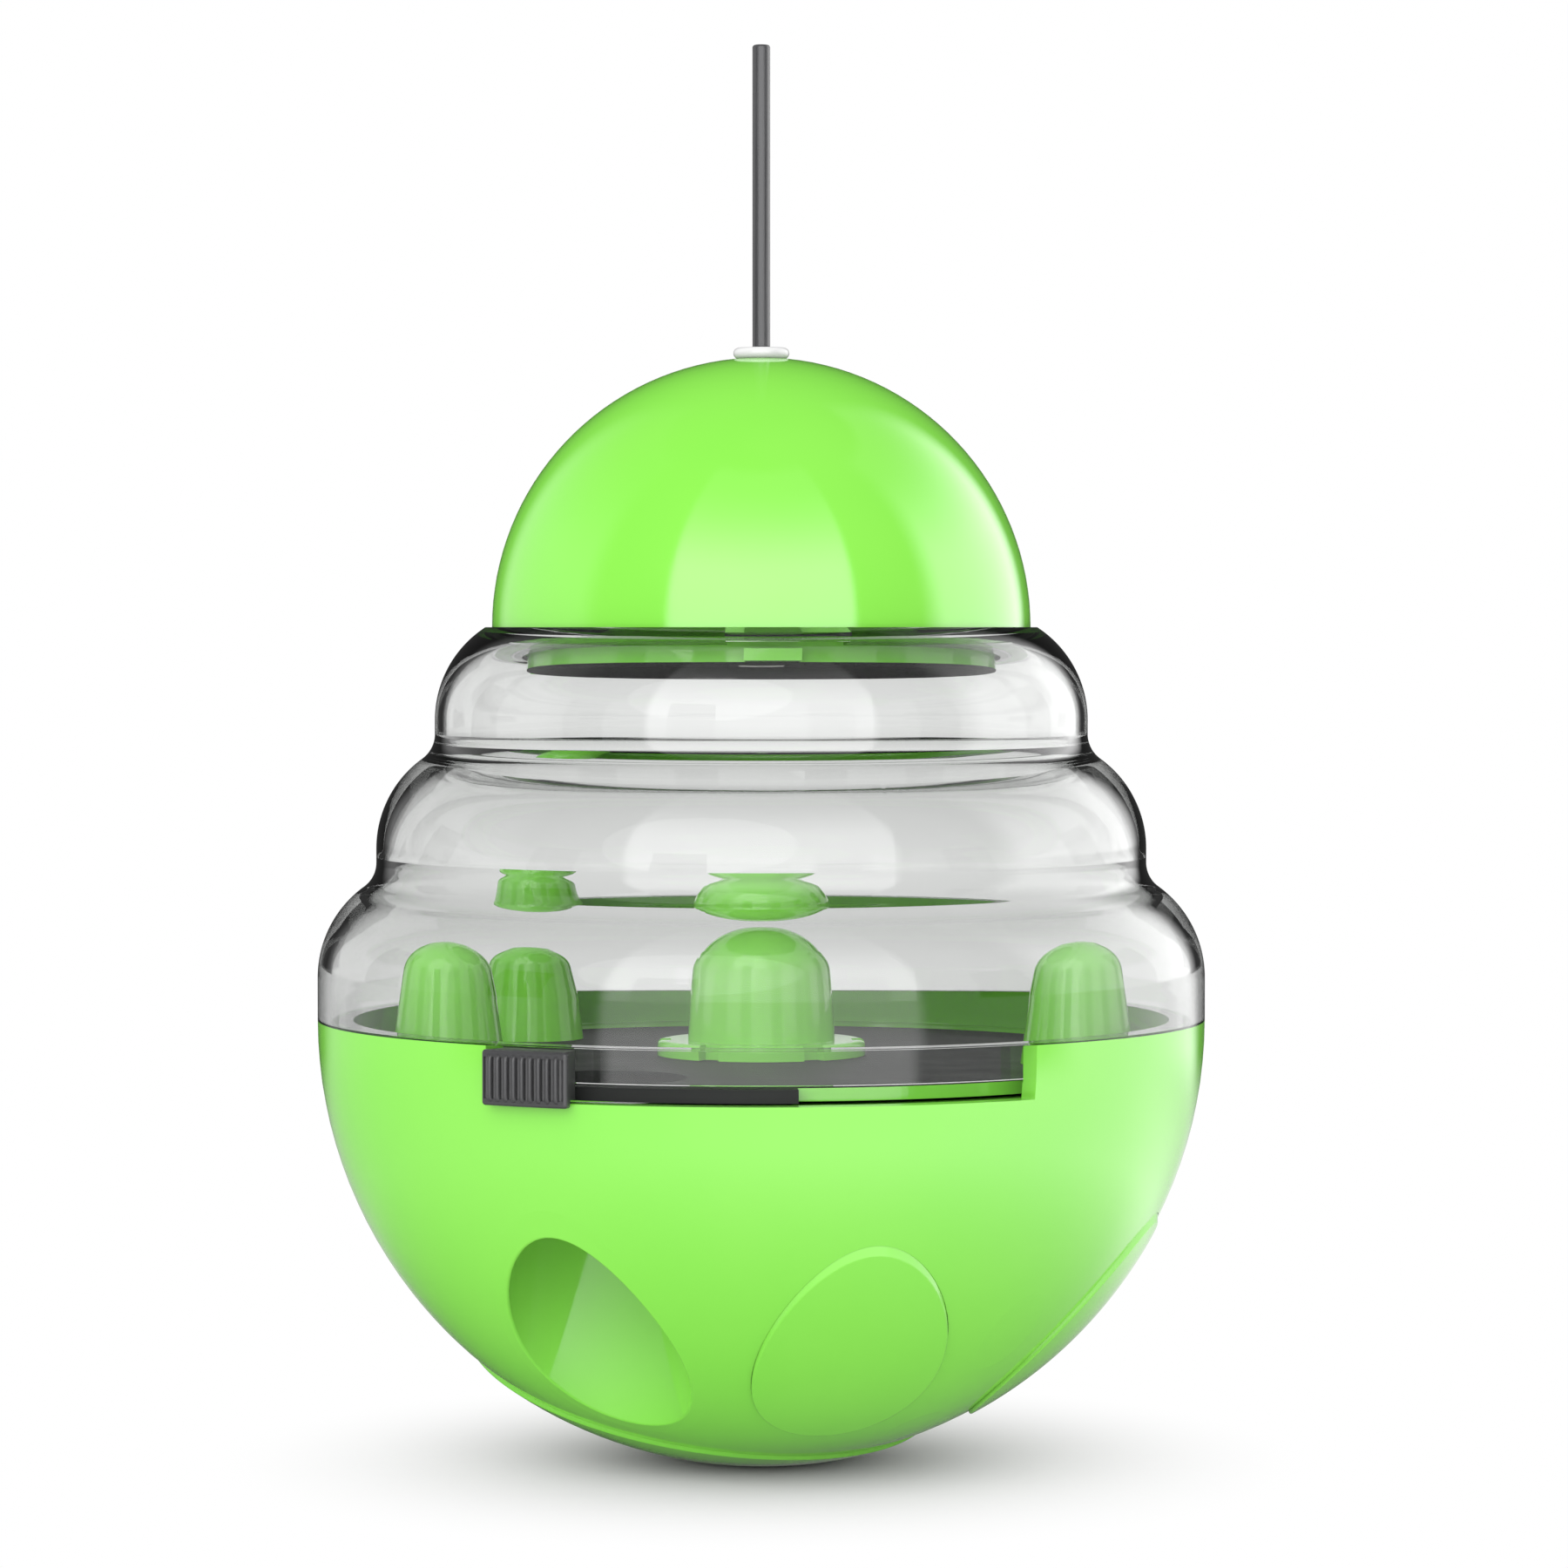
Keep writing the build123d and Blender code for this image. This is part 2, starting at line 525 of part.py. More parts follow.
save("hub_screw", Pos(0, 0, DECK_UNDER) * pan_screw(hub_grip))

# Clear chamber with its spigot, mouth and lug entries
spigot_in_r = SPIGOT_R - SPIGOT_WALL
chamber = turned(outer_section()) - turned(inner_section(SEAM_Z + FOOT_THICK))
chamber += tube(spigot_in_r, SPIGOT_R, SPIGOT_UNDER, SEAM_Z + FOOT_THICK)
chamber -= rod(spigot_in_r, SPIGOT_UNDER - 1, SEAM_Z + FOOT_THICK + 1)
chamber -= rod(MOUTH_R, CHAMBER_TOP - OVERCUT, CHAMBER_TOP + OVERCUT)
entry = wedge(MOUTH_R - 1, ENTRY_R, CHAMBER_TOP - 4, CHAMBER_TOP + 1, ENTRY_AZ - ENTRY_HALF_AZ,
              ENTRY_AZ + ENTRY_HALF_AZ)
for gap in every(LUGS, entry):
    chamber -= gap
save("chamber", chamber)

# Dome with its screw bosses and wand socket
dome_ball = ball(DOME_R, CHAMBER_TOP)
dome_room = ball(DOME_IN_R, CHAMBER_TOP)
dome = dome_ball - dome_room
stubs = rod(SOCKET_BOSS_R, SOCKET_END - SOCKET_FLOOR, GROMMET_SEAT)
stubs += bosses(3, LID_BOSS_AZ, LID_BOSS_RHO, LID_BOSS_R, INSERT_TOP, GROMMET_SEAT)
dome += stubs & ball(DOME_R - DOME_WALL / 2, CHAMBER_TOP)
dome &= rod(BASE_R, CHAMBER_TOP, GROMMET_TOP + OVERCUT)
dome -= rod(GROMMET_R + PUSH_CLEAR, GROMMET_SEAT, GROMMET_TOP + OVERCUT)
dome -= rod(GROMMET_SHANK_R + PUSH_CLEAR, GROMMET_UNDER, GROMMET_TOP)
dome -= rod(PLUG_BORE_R, SOCKET_END, GROMMET_TOP)
lid_holes = bosses(3, LID_BOSS_AZ, LID_BOSS_RHO, SCREW_R + SCREW_CLEAR, SKIRT_UNDER, CHAMBER_TOP + SCREW_GRIP)
for hole in lid_holes:
    dome -= hole
save("lid_dome", dome)

# Insert that closes the dome, with the skirt and lugs of the twist lock
insert = rod(INSERT_R, CHAMBER_TOP, INSERT_TOP)
seal_top = CHAMBER_TOP + SEAL_THICK
insert -= tube(SEAL_IN_R - RUN_CLEAR, BASE_R, CHAMBER_TOP - 1, seal_top + PUSH_CLEAR)
insert += tube(SKIRT_R - SKIRT_WALL, SKIRT_R, SKIRT_UNDER, CHAMBER_TOP)
lug_top = SKIRT_UNDER + LUG_HEIGHT
lug = wedge(SKIRT_R - 1, LUG_R, SKIRT_UNDER, lug_top, LUG_AZ - LUG_HALF_AZ, LUG_AZ + LUG_HALF_AZ)
insert += every(LUGS, lug)
for hole in lid_holes:
    insert -= hole
save("lid_insert", insert)
save("lid_seal", tube(SEAL_IN_R, SEAL_OUT_R, CHAMBER_TOP, seal_top))
lid_screw = spot(0, LID_BOSS_RHO, CHAMBER_TOP) * pan_screw(SCREW_GRIP - 0.5)
save("lid_screws", every(3, lid_screw, LID_BOSS_AZ))
liner = rod(SKIRT_R - SKIRT_WALL - PUSH_CLEAR, CHAMBER_TOP - LINER_THICK, CHAMBER_TOP)
for hole in bosses(3, LID_BOSS_AZ, LID_BOSS_RHO, SCREW_HEAD_R + FREE_CLEAR, SKIRT_UNDER, INSERT_TOP):
    liner -= hole
save("lid_liner", liner)

# Grommet and wand
grommet = rod(GROMMET_R, GROMMET_SEAT, GROMMET_TOP)
grommet = fillet(grommet.edges().sort_by(Axis.Z)[-1], GROMMET_ROUND)
grommet += rod(GROMMET_SHANK_R, GROMMET_UNDER, GROMMET_SEAT)
grommet -= rod(PLUG_BORE_R, GROMMET_UNDER - 1, GROMMET_TOP + 1)
save("wand_grommet", grommet)
wand = rod(ROD_R, GROMMET_TOP, ROD_TOP)
wand = fillet(wand.edges().sort_by(Axis.Z)[-1], ROD_TIP_ROUND)
wand += rod(ROD_PLUG_R, GROMMET_TOP - ROD_PLUG_LENGTH, GROMMET_TOP)
save("wand_rod", wand)
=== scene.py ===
import logging
import math
from dataclasses import dataclass
from enum import Enum
from typing import Callable, Iterable, Optional, Sequence

import bmesh
import bpy
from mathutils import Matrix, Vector


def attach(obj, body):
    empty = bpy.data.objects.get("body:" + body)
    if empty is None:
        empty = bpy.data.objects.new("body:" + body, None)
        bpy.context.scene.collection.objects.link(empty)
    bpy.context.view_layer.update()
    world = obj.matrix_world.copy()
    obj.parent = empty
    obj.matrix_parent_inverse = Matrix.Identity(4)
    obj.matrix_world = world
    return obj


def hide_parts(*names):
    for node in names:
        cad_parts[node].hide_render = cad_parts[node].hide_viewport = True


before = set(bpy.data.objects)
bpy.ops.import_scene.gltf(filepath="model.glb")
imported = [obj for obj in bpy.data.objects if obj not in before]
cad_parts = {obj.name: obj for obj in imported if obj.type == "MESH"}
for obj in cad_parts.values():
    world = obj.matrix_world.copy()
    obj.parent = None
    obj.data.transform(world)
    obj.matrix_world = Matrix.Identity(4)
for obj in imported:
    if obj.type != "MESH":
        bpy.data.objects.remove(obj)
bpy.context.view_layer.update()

LOG = logging.getLogger("treat_toy")
MM = 0.001
SAME_POINT = 1e-7  # metres within which two points are one
NO_LENGTH = 1e-8  # metres under which an edge is dropped
CREASE = 35.0  # degrees above which an edge stays sharp
NOISE_MIDDLE = (0.3, 0.7)  # range that most of a noise texture lies in
WHITE = (1.0, 1.0, 1.0, 1.0)
Colour = tuple[float, float, float]
Triple = tuple[float, float, float]
Point = tuple[float, float]
Range = tuple[float, float]


class Body(Enum):
    """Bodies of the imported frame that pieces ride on."""

    BASE = "base"
    SHUTTER = "shutter"
    LID = "lid"


class Slot(Enum):
    """Material slots of the record."""

    GREEN = "green_plastic"
    CLEAR = "clear_plastic"
    DARK = "dark_plastic"
    WHITE = "white_plastic"
    WAND = "wand_fibre"
    IRON = "ballast_iron"
    CLAMP = "clamp_steel"
    SCREW = "screw_steel"
    RUBBER = "seal_rubber"
    LINER = "liner_rubber"


class Graph:
    """Node tree of one material or of the world, with short calls to add and join nodes."""

    def __init__(self, owner: bpy.types.ID) -> None:
        """Clear the owner's tree and start a new one.

        Args:
            owner: Material or world that gets the nodes.
        """
        owner.use_nodes = True
        self.tree = owner.node_tree
        self.tree.nodes.clear()

    def add(self, kind: str, **values: object) -> bpy.types.Node:
        """Add one node.

        Args:
            kind: Node type without its ShaderNode prefix.
            values: Plain names are node settings; names that start with in_ are input sockets, by label
                with underscores for spaces, and take a number, a colour or another node's output.

        Returns:
            The new node.
        """
        node = self.tree.nodes.new("ShaderNode" + kind)
        for key, value in values.items():
            if key.startswith("in_"):
                label = key[3:].replace("_", " ")
                socket = node.inputs[int(label)] if label.isdigit() else node.inputs[label]
                if isinstance(value, bpy.types.NodeSocket):
                    self.tree.links.new(value, socket)
                else:
                    socket.default_value = value
            else:
                setattr(node, key, value)
        return node

    def noise(self, coords: bpy.types.NodeSocket, scale: float, detail: float = 3.0,
              rough: float = 0.5) -> bpy.types.NodeSocket:
        """Add a noise texture.

        Args:
            coords: Texture coordinates.
            scale: Cells per metre.
            detail: Octaves.
            rough: Share that each octave adds.

        Returns:
            The noise value, about 0.2 to 0.8.
        """
        node = self.add("TexNoise", in_Vector=coords, in_Scale=scale, in_Detail=detail,
                        in_Roughness=rough)
        return node.outputs["Fac"]

    def stretched(self, coords: bpy.types.NodeSocket, scale: Sequence[float]) -> bpy.types.NodeSocket:
        """Scale coordinates differently along each axis.

        Args:
            coords: Texture coordinates.
            scale: Factor along x, y and z.

        Returns:
            The scaled coordinates.
        """
        return self.add("Mapping", in_Vector=coords, in_Scale=tuple(scale)).outputs["Vector"]

    def span(self, value: bpy.types.NodeSocket, low: float, high: float, out_low: float = 0.0,
             out_high: float = 1.0) -> bpy.types.NodeSocket:
        """Map a value from one range to another, clamped and eased.

        Args:
            value: Value to map.
            low: Value that gives out_low.
            high: Value that gives out_high.
            out_low: Result at low.
            out_high: Result at high.

        Returns:
            The mapped value.
        """
        node = self.add("MapRange", interpolation_type="SMOOTHSTEP", in_Value=value)
        limits = {"From Min": low, "From Max": high, "To Min": out_low, "To Max": out_high}
        for name, number in limits.items():
            node.inputs[name].default_value = number
        return node.outputs["Result"]

    def maths(self, operation: str, first: object, second: object = 0.0) -> bpy.types.NodeSocket:
        """Add one sum.

        Args:
            operation: Name of the math operation.
            first: First value or socket.
            second: Second value or socket.

        Returns:
            The result.
        """
        return self.add("Math", operation=operation, in_0=first, in_1=second).outputs["Value"]

    def blend(self, share: bpy.types.NodeSocket, first: object,
              second: object) -> bpy.types.NodeSocket:
        """Mix two colours.

        Args:
            share: Share of the second colour.
            first: Colour at 0, or the socket that gives it.
            second: Colour at 1, or the socket that gives it.

        Returns:
            The mixed colour.
        """
        node = self.add("Mix", data_type="RGBA", in_0=share)
        for number, colour in ((6, first), (7, second)):
            if isinstance(colour, bpy.types.NodeSocket):
                self.tree.links.new(colour, node.inputs[number])
            else:
                node.inputs[number].default_value = (*colour, 1.0)
        return node.outputs[2]

    def bump(self, height: bpy.types.NodeSocket, depth: float) -> bpy.types.NodeSocket:
        """Turn a height into a normal.

        Args:
            height: Height, 0 to 1.
            depth: Height of 1 in metres.

        Returns:
            The normal.
        """
        node = self.add("Bump", in_Height=height, in_Distance=depth, in_Strength=1.0)
        return node.outputs["Normal"]

    def seen(self) -> bpy.types.NodeSocket:
        """Tell the rays that show the background from those that light the object.

        Returns:
            1 for rays straight from the camera, mirrored or through clear plastic, 0 for the others.
        """
        path = self.add("LightPath")
        seen = self.maths("MAXIMUM", path.outputs["Is Camera Ray"], path.outputs["Is Glossy Ray"])
        return self.maths("MAXIMUM", seen, path.outputs["Is Transmission Ray"])


@dataclass(frozen=True)
class MouldedPlastic:
    """Opaque injection-moulded plastic with slow colour drift, fine grain and faint scuffs."""

    name: str
    colour: Colour
    drift: Colour
    roughness: float = 0.2
    roughness_spread: float = 0.08
    grain: float = 3e-6
    grain_scale: float = 1600.0
    scuff: float = 0.12
    ior: float = 1.5
    shine: float = 0.5
    # greyer colour seen only by diffuse bounce rays: painted light and shade that weakens the green
    # bounce light this plastic throws
    bounce: Optional[Colour] = None
    drift_scale: float = 45.0
    patch_scale: float = 160.0
    scuff_stretch: Triple = (900.0, 900.0, 90.0)
    scuff_range: Range = (0.6, 0.78)

    def material(self) -> bpy.types.Material:
        """Build the material.

        Returns:
            The finished material.
        """
        made = bpy.data.materials.new(self.name)
        graph = Graph(made)
        place = graph.add("TexCoord").outputs["Object"]
        slow = graph.noise(place, self.drift_scale, detail=2.0)
        tone = graph.blend(graph.span(slow, *NOISE_MIDDLE), self.colour, self.drift)
        # painted light and shade: diffuse bounce rays see the greyer bounce colour, so less green light
        # falls on the floor and nearby parts, and hollows such as the outlet stay darker
        if self.bounce:
            path = graph.add("LightPath")
            tone = graph.blend(path.outputs["Is Diffuse Ray"], tone, self.bounce)
        grain = graph.noise(place, self.grain_scale, detail=2.0)
        marks = graph.noise(graph.stretched(place, self.scuff_stretch), 1.0, rough=0.6)
        marks = graph.span(marks, *self.scuff_range, 0.0, self.scuff)
        half = self.roughness_spread / 2
        patch = graph.noise(place, self.patch_scale)
        patch = graph.span(patch, *NOISE_MIDDLE, self.roughness - half, self.roughness + half)
        shader = graph.add("BsdfPrincipled", in_Base_Color=tone,
                           in_Roughness=graph.maths("ADD", patch, marks),
                           in_IOR=self.ior, in_Specular_IOR_Level=self.shine,
                           in_Normal=graph.bump(grain, self.grain))
        graph.add("OutputMaterial", in_Surface=shader.outputs[0])
        return made


@dataclass(frozen=True)
class ClearPlastic:
    """Clear moulded plastic with a faint tint in its thickness and soft flow waves."""

    name: str
    tint: Colour = (0.985, 0.99, 0.985)
    depth_tint: Colour = (0.55, 0.56, 0.55)
    density: float = 240.0
    ior: float = 1.49
    roughness: float = 0.012
    wave: float = 4e-6
    lamp_share: float = 0.92
    flow_stretch: Triple = (1.0, 1.0, 0.35)
    flow_scale: float = 140.0
    haze_scale: float = 260.0
    haze_range: Range = (0.35, 0.75)

    def material(self) -> bpy.types.Material:
        """Build the material.

        Returns:
            The finished material.
        """
        made = bpy.data.materials.new(self.name)
        graph = Graph(made)
        place = graph.add("TexCoord").outputs["Object"]
        flow = graph.noise(graph.stretched(place, self.flow_stretch), self.flow_scale, detail=2.0)
        haze = graph.noise(place, self.haze_scale)
        haze = graph.span(haze, *self.haze_range, 0.0, self.roughness)
        shader = graph.add("BsdfPrincipled", in_Base_Color=(*self.tint, 1.0), in_Roughness=haze,
                           in_IOR=self.ior, in_Transmission_Weight=1.0,
                           in_Normal=graph.bump(flow, self.wave))
        depth = graph.add("VolumeAbsorption", in_Color=(*self.depth_tint, 1.0),
                          in_Density=self.density)
        path = graph.add("LightPath")
        share = graph.maths("MULTIPLY", path.outputs["Is Shadow Ray"], self.lamp_share)
        clear = graph.add("BsdfTransparent")
        mix = graph.add("MixShader", in_Fac=share, in_1=shader.outputs[0], in_2=clear.outputs[0])
        graph.add("OutputMaterial", in_Surface=mix.outputs[0], in_Volume=depth.outputs[0])
        return made


@dataclass(frozen=True)
class DrawnRod:
    """Dark fibre rod with fine lengthwise strands under a thin resin skin."""

    name: str
    colour: Colour = (0.045, 0.045, 0.048)
    strand: Colour = (0.085, 0.085, 0.09)
    roughness: Range = (0.25, 0.4)
    ior: float = 1.55
    strand_depth: float = 1.2e-5
    strand_stretch: Triple = (9000.0, 9000.0, 60.0)

    def material(self) -> bpy.types.Material:
        """Build the material.

        Returns:
            The finished material.
        """
        made = bpy.data.materials.new(self.name)
        graph = Graph(made)
        place = graph.add("TexCoord").outputs["Object"]
        strands = graph.noise(graph.stretched(place, self.strand_stretch), 1.0, rough=0.6)
        tone = graph.blend(graph.span(strands, *NOISE_MIDDLE), self.colour, self.strand)
        sheen = graph.span(strands, *NOISE_MIDDLE, *self.roughness)
        shader = graph.add("BsdfPrincipled", in_Base_Color=tone, in_Roughness=sheen, in_IOR=self.ior,
                           in_Normal=graph.bump(strands, self.strand_depth))
        graph.add("OutputMaterial", in_Surface=shader.outputs[0])
        return made


@dataclass(frozen=True)
class BareMetal:
    """Plain metal with fine pitting, stains and a dull cast or plated skin."""

    name: str
    colour: Colour
    stain: Colour
    metallic: float = 1.0
    roughness: float = 0.35
    pitting: float = 1e-5
    pitting_scale: float = 900.0
    roughness_drift: Range = (-0.08, 0.12)
    cloud_scale: float = 120.0
    cloud_range: Range = (0.35, 0.7)

    def material(self) -> bpy.types.Material:
        """Build the material.

        Returns:
            The finished material.
        """
        made = bpy.data.materials.new(self.name)
        graph = Graph(made)
        place = graph.add("TexCoord").outputs["Object"]
        pits = graph.noise(place, self.pitting_scale, detail=4.0, rough=0.6)
        cloud = graph.span(graph.noise(place, self.cloud_scale, detail=4.0), *self.cloud_range)
        tone = graph.blend(cloud, self.colour, self.stain)
        least, most = (self.roughness + drift for drift in self.roughness_drift)
        dull = graph.span(pits, *NOISE_MIDDLE, least, most)
        shader = graph.add("BsdfPrincipled", in_Base_Color=tone, in_Roughness=dull,
                           in_Metallic=self.metallic, in_Normal=graph.bump(pits, self.pitting))
        graph.add("OutputMaterial", in_Surface=shader.outputs[0])
        return made


@dataclass(frozen=True)
class SoftRubber:
    """Matt rubber with a fine bloom, as on the grey seal and the black liner."""

    name: str
    colour: Colour = (0.16, 0.17, 0.17)
    bloom: Colour = (0.24, 0.25, 0.25)
    roughness: float = 0.75
    shine: float = 0.5
    ior: float = 1.45
    roughness_drift: float = 0.1
    dust_scale: float = 700.0
    dust_range: Range = (0.4, 0.75)
    dust_depth: float = 1e-5

    def material(self) -> bpy.types.Material:
        """Build the material.

        Returns:
            The finished material.
        """
        made = bpy.data.materials.new(self.name)
        graph = Graph(made)
        place = graph.add("TexCoord").outputs["Object"]
        dust = graph.noise(place, self.dust_scale, detail=4.0, rough=0.6)
        tone = graph.blend(graph.span(dust, *self.dust_range), self.colour, self.bloom)
        least, most = self.roughness - self.roughness_drift, self.roughness + self.roughness_drift
        dull = graph.span(dust, *NOISE_MIDDLE, least, most)
        shader = graph.add("BsdfPrincipled", in_Base_Color=tone, in_Roughness=dull, in_IOR=self.ior,
                           in_Specular_IOR_Level=self.shine,
                           in_Normal=graph.bump(dust, self.dust_depth))
        graph.add("OutputMaterial", in_Surface=shader.outputs[0])
        return made


FINISHES = {
    Slot.GREEN: MouldedPlastic("green_gloss", (0.30, 0.95, 0.095), (0.32, 0.96, 0.105),
                               roughness=0.09, roughness_spread=0.04, scuff=0.05, grain=1.2e-6,
                               # bounce: greyer green seen only by diffuse bounce rays, painted light
                               # and shade that weakens the green bounce light
                               ior=1.68, bounce=(0.27, 0.34, 0.23)),
    Slot.CLEAR: ClearPlastic("clear_gloss"),
    Slot.DARK: MouldedPlastic("dark_satin", (0.06, 0.06, 0.062), (0.07, 0.07, 0.073), roughness=0.36,
                              grain=8e-6, grain_scale=2200.0),
    Slot.WHITE: MouldedPlastic("white_gloss", (0.97, 0.97, 0.97), (0.98, 0.98, 0.98), roughness=0.22,
                               scuff=0.06),
    Slot.WAND: DrawnRod("wand_rod_fibre"),
    Slot.IRON: BareMetal("cast_iron", (0.09, 0.088, 0.085), (0.13, 0.10, 0.08), metallic=0.8,
                         roughness=0.6, pitting=6e-5, pitting_scale=700.0),
    Slot.CLAMP: BareMetal("zinc_sheet", (0.55, 0.56, 0.58), (0.45, 0.47, 0.5), roughness=0.38),
    Slot.SCREW: BareMetal("plated_screw", (0.62, 0.61, 0.58), (0.5, 0.49, 0.46), roughness=0.3),
    Slot.RUBBER: SoftRubber("grey_rubber"),
    Slot.LINER: SoftRubber("black_rubber", (0.010, 0.010, 0.010), (0.016, 0.016, 0.016),
                           roughness=0.85, shine=0.04),
}
PLATE_FINISH = MouldedPlastic("dark_matt", (0.035, 0.036, 0.036), (0.045, 0.046, 0.046),
                              roughness=0.6, grain=1.2e-5, grain_scale=2600.0, shine=0.12)


class Paintbox:
    """Makes each finish once and hands it out by slot."""

    def __init__(self) -> None:
        """Start with no material made."""
        self.made: dict[Slot, bpy.types.Material] = {}

    def get(self, slot: Slot) -> bpy.types.Material:
        """Give the material of a slot.

        Args:
            slot: Slot of the record.

        Returns:
            The slot's material.
        """
        if slot not in self.made:
            self.made[slot] = FINISHES[slot].material()
        return self.made[slot]

    def coat(self, obj: bpy.types.Object, slot: Slot) -> None:
        """Put a slot's finish on every material place of an object.

        Args:
            obj: Mesh object.
            slot: Slot of the record.
        """
        if not obj.material_slots:
            obj.data.materials.append(None)
        for place in obj.material_slots:
            place.link = "OBJECT"
            place.material = self.get(slot)

    def coat_with(self, obj: bpy.types.Object, finish: MouldedPlastic) -> None:
        """Put a finish of its own on every material place of an object.

        Args:
            obj: Mesh object.
            finish: Finish that differs from the slot's usual one.
        """
        made = finish.material()
        for place in obj.material_slots:
            place.link = "OBJECT"
            place.material = made


PAINT = Paintbox()


def mesh_object(name: str, points: Sequence[Sequence[float]],
                faces: Sequence[Sequence[int]]) -> bpy.types.Object:
    """Make a mesh object and link it to the scene.

    Args:
        name: Name of the object and its mesh.
        points: Vertices in metres.
        faces: Vertex numbers of each face.

    Returns:
        The new object.
    """
    data = bpy.data.meshes.new(name)
    data.from_pydata([tuple(p) for p in points], [], [tuple(f) for f in faces])
    data.update()
    obj = bpy.data.objects.new(name, data)
    bpy.context.scene.collection.objects.link(obj)
    return obj


def only_for(obj: bpy.types.Object, glossy: bool = False, transmission: bool = False) -> None:
    """Hide an object from every kind of ray but the ones named.

    Args:
        obj: Object to hide.
        glossy: Whether reflections see it.
        transmission: Whether rays through clear plastic see it.
    """
    obj.visible_camera = False
    obj.visible_diffuse = False
    obj.visible_shadow = False
    obj.visible_volume_scatter = False
    obj.visible_glossy = glossy
    obj.visible_transmission = transmission


def disc(name: str, radius: float, sides: int) -> bpy.types.Object:
    """Flat disc at z = 0.

    Args:
        name: Name of the object.
        radius: Radius in metres.
        sides: Corners of its edge.

    Returns:
        The disc.
    """
    turns = [2 * math.pi * k / sides for k in range(sides)]
    rim = [(radius * math.cos(a), radius * math.sin(a), 0.0) for a in turns]
    return mesh_object(name, rim, [range(sides)])


def dome(name: str, radius: float, columns: int, rows: int, hole: float,
         lift: float) -> bpy.types.Object:
    """Half ball standing on the floor, with a floor of its own that is open in the middle.

    Args:
        name: Name of the object.
        radius: Radius in metres.
        columns: Faces round it.
        rows: Faces from floor to top.
        hole: Radius of the opening in its floor.
        lift: Height of its floor.

    Returns:
        The half ball.
    """
    rises = [math.pi / 2 * i / rows for i in range(1, rows)]
    turns = [2 * math.pi * j / columns for j in range(columns)]
    rings = [(hole, lift), (radius, lift)]
    rings += [(radius * math.cos(a), radius * math.sin(a)) for a in rises]
    points = [(r * math.cos(a), r * math.sin(a), z) for r, z in rings for a in turns]
    points.append((0.0, 0.0, radius))
    faces = []
    for i in range(len(rings)):
        for j in range(columns):
            here, there = i * columns + j, i * columns + (j + 1) % columns
            if i + 1 < len(rings):
                faces.append((here, there, there + columns, here + columns))
            else:
                faces.append((here, there, len(points) - 1))
    return mesh_object(name, points, faces)


def panels(name: str, radius: float, low: float, high: float, azimuths: Sequence[float],
           half_turn: float) -> bpy.types.Object:
    """Upright curved panels round the axis.

    Args:
        name: Name of the object.
        radius: Distance from the axis in metres.
        low: Height of the lower edge.
        high: Height of the upper edge.
        azimuths: Azimuth of the middle of each panel in degrees.
        half_turn: Half of the angle that one panel takes up, in degrees.

    Returns:
        The panels as one object.
    """
    points, faces = [], []
    steps = 8
    for azimuth in azimuths:
        start = len(points)
        for s in range(steps + 1):
            a = math.radians(azimuth - half_turn + 2 * half_turn * s / steps)
            for z in (low, high):
                points.append((radius * math.sin(a), -radius * math.cos(a), z))
        for s in range(steps):
            k = start + 2 * s
            faces.append((k, k + 2, k + 3, k + 1))
    return mesh_object(name, points, faces)


def arc(centre: Point, radii: Point, start: float, stop: float, steps: int) -> list[Point]:
    """Points along a round or oval arc of a half section.

    Args:
        centre: Centre as distance from the axis and height.
        radii: Radius across and radius up.
        start: First angle in degrees.
        stop: Last angle in degrees.
        steps: Runs between the points.

    Returns:
        The points from start to stop.
    """
    turns = [math.radians(start + (stop - start) * k / steps) for k in range(steps + 1)]
    return [(centre[0] + radii[0] * math.cos(a), centre[1] + radii[1] * math.sin(a)) for a in turns]


def meeting_point(first: Point, first_r: float, second: Point, second_r: float) -> Point:
    """Find the higher of the two points where two circles of a half section cross.

    Args:
        first: Centre of the first circle.
        first_r: Its radius.
        second: Centre of the second circle, further from the axis.
        second_r: Its radius.

    Returns:
        The higher point.
    """
    across, up = second[0] - first[0], second[1] - first[1]
    apart = math.hypot(across, up)
    along = (first_r ** 2 - second_r ** 2 + apart ** 2) / (2 * apart)
    aside = math.sqrt(first_r ** 2 - along ** 2)
    return (first[0] + (along * across - aside * up) / apart,
            first[1] + (along * up + aside * across) / apart)


def lathe(name: str, section: Sequence[Point], azimuths: Sequence[float],
          inner: Optional[Callable[[float], float]] = None, at: Point = (0.0, 0.0),
          sharp: float = CREASE) -> bpy.types.Object:
    """Turn a closed half section, given in millimetres, about an upright axis.

    Args:
        name: Name of the object.
        section: Corners of the half section all the way round, as distance from the axis and height.
        azimuths: Azimuths of the columns in degrees, from the front towards +X.
        inner: Smallest distance from the axis at an azimuth, where the section is cut back.
        at: Place of the axis in plan, in millimetres.
        sharp: Angle in degrees above which an edge stays sharp.

    Returns:
        The turned piece.
    """
    points, faces = [], []
    rows, columns = len(section), len(azimuths)
    for azimuth in azimuths:
        a = math.radians(azimuth)
        least = inner(azimuth) if inner else 0.0
        for r, z in section:
            r = max(r, least)
            points.append(((at[0] + r * math.sin(a)) * MM, (at[1] - r * math.cos(a)) * MM, z * MM))
    for j in range(columns):
        here, there = j * rows, (j + 1) % columns * rows
        for i in range(rows):
            k = (i + 1) % rows
            faces.append((here + i, there + i, there + k, here + k))
    obj = mesh_object(name, points, faces)
    weld(obj, sharp)
    return obj


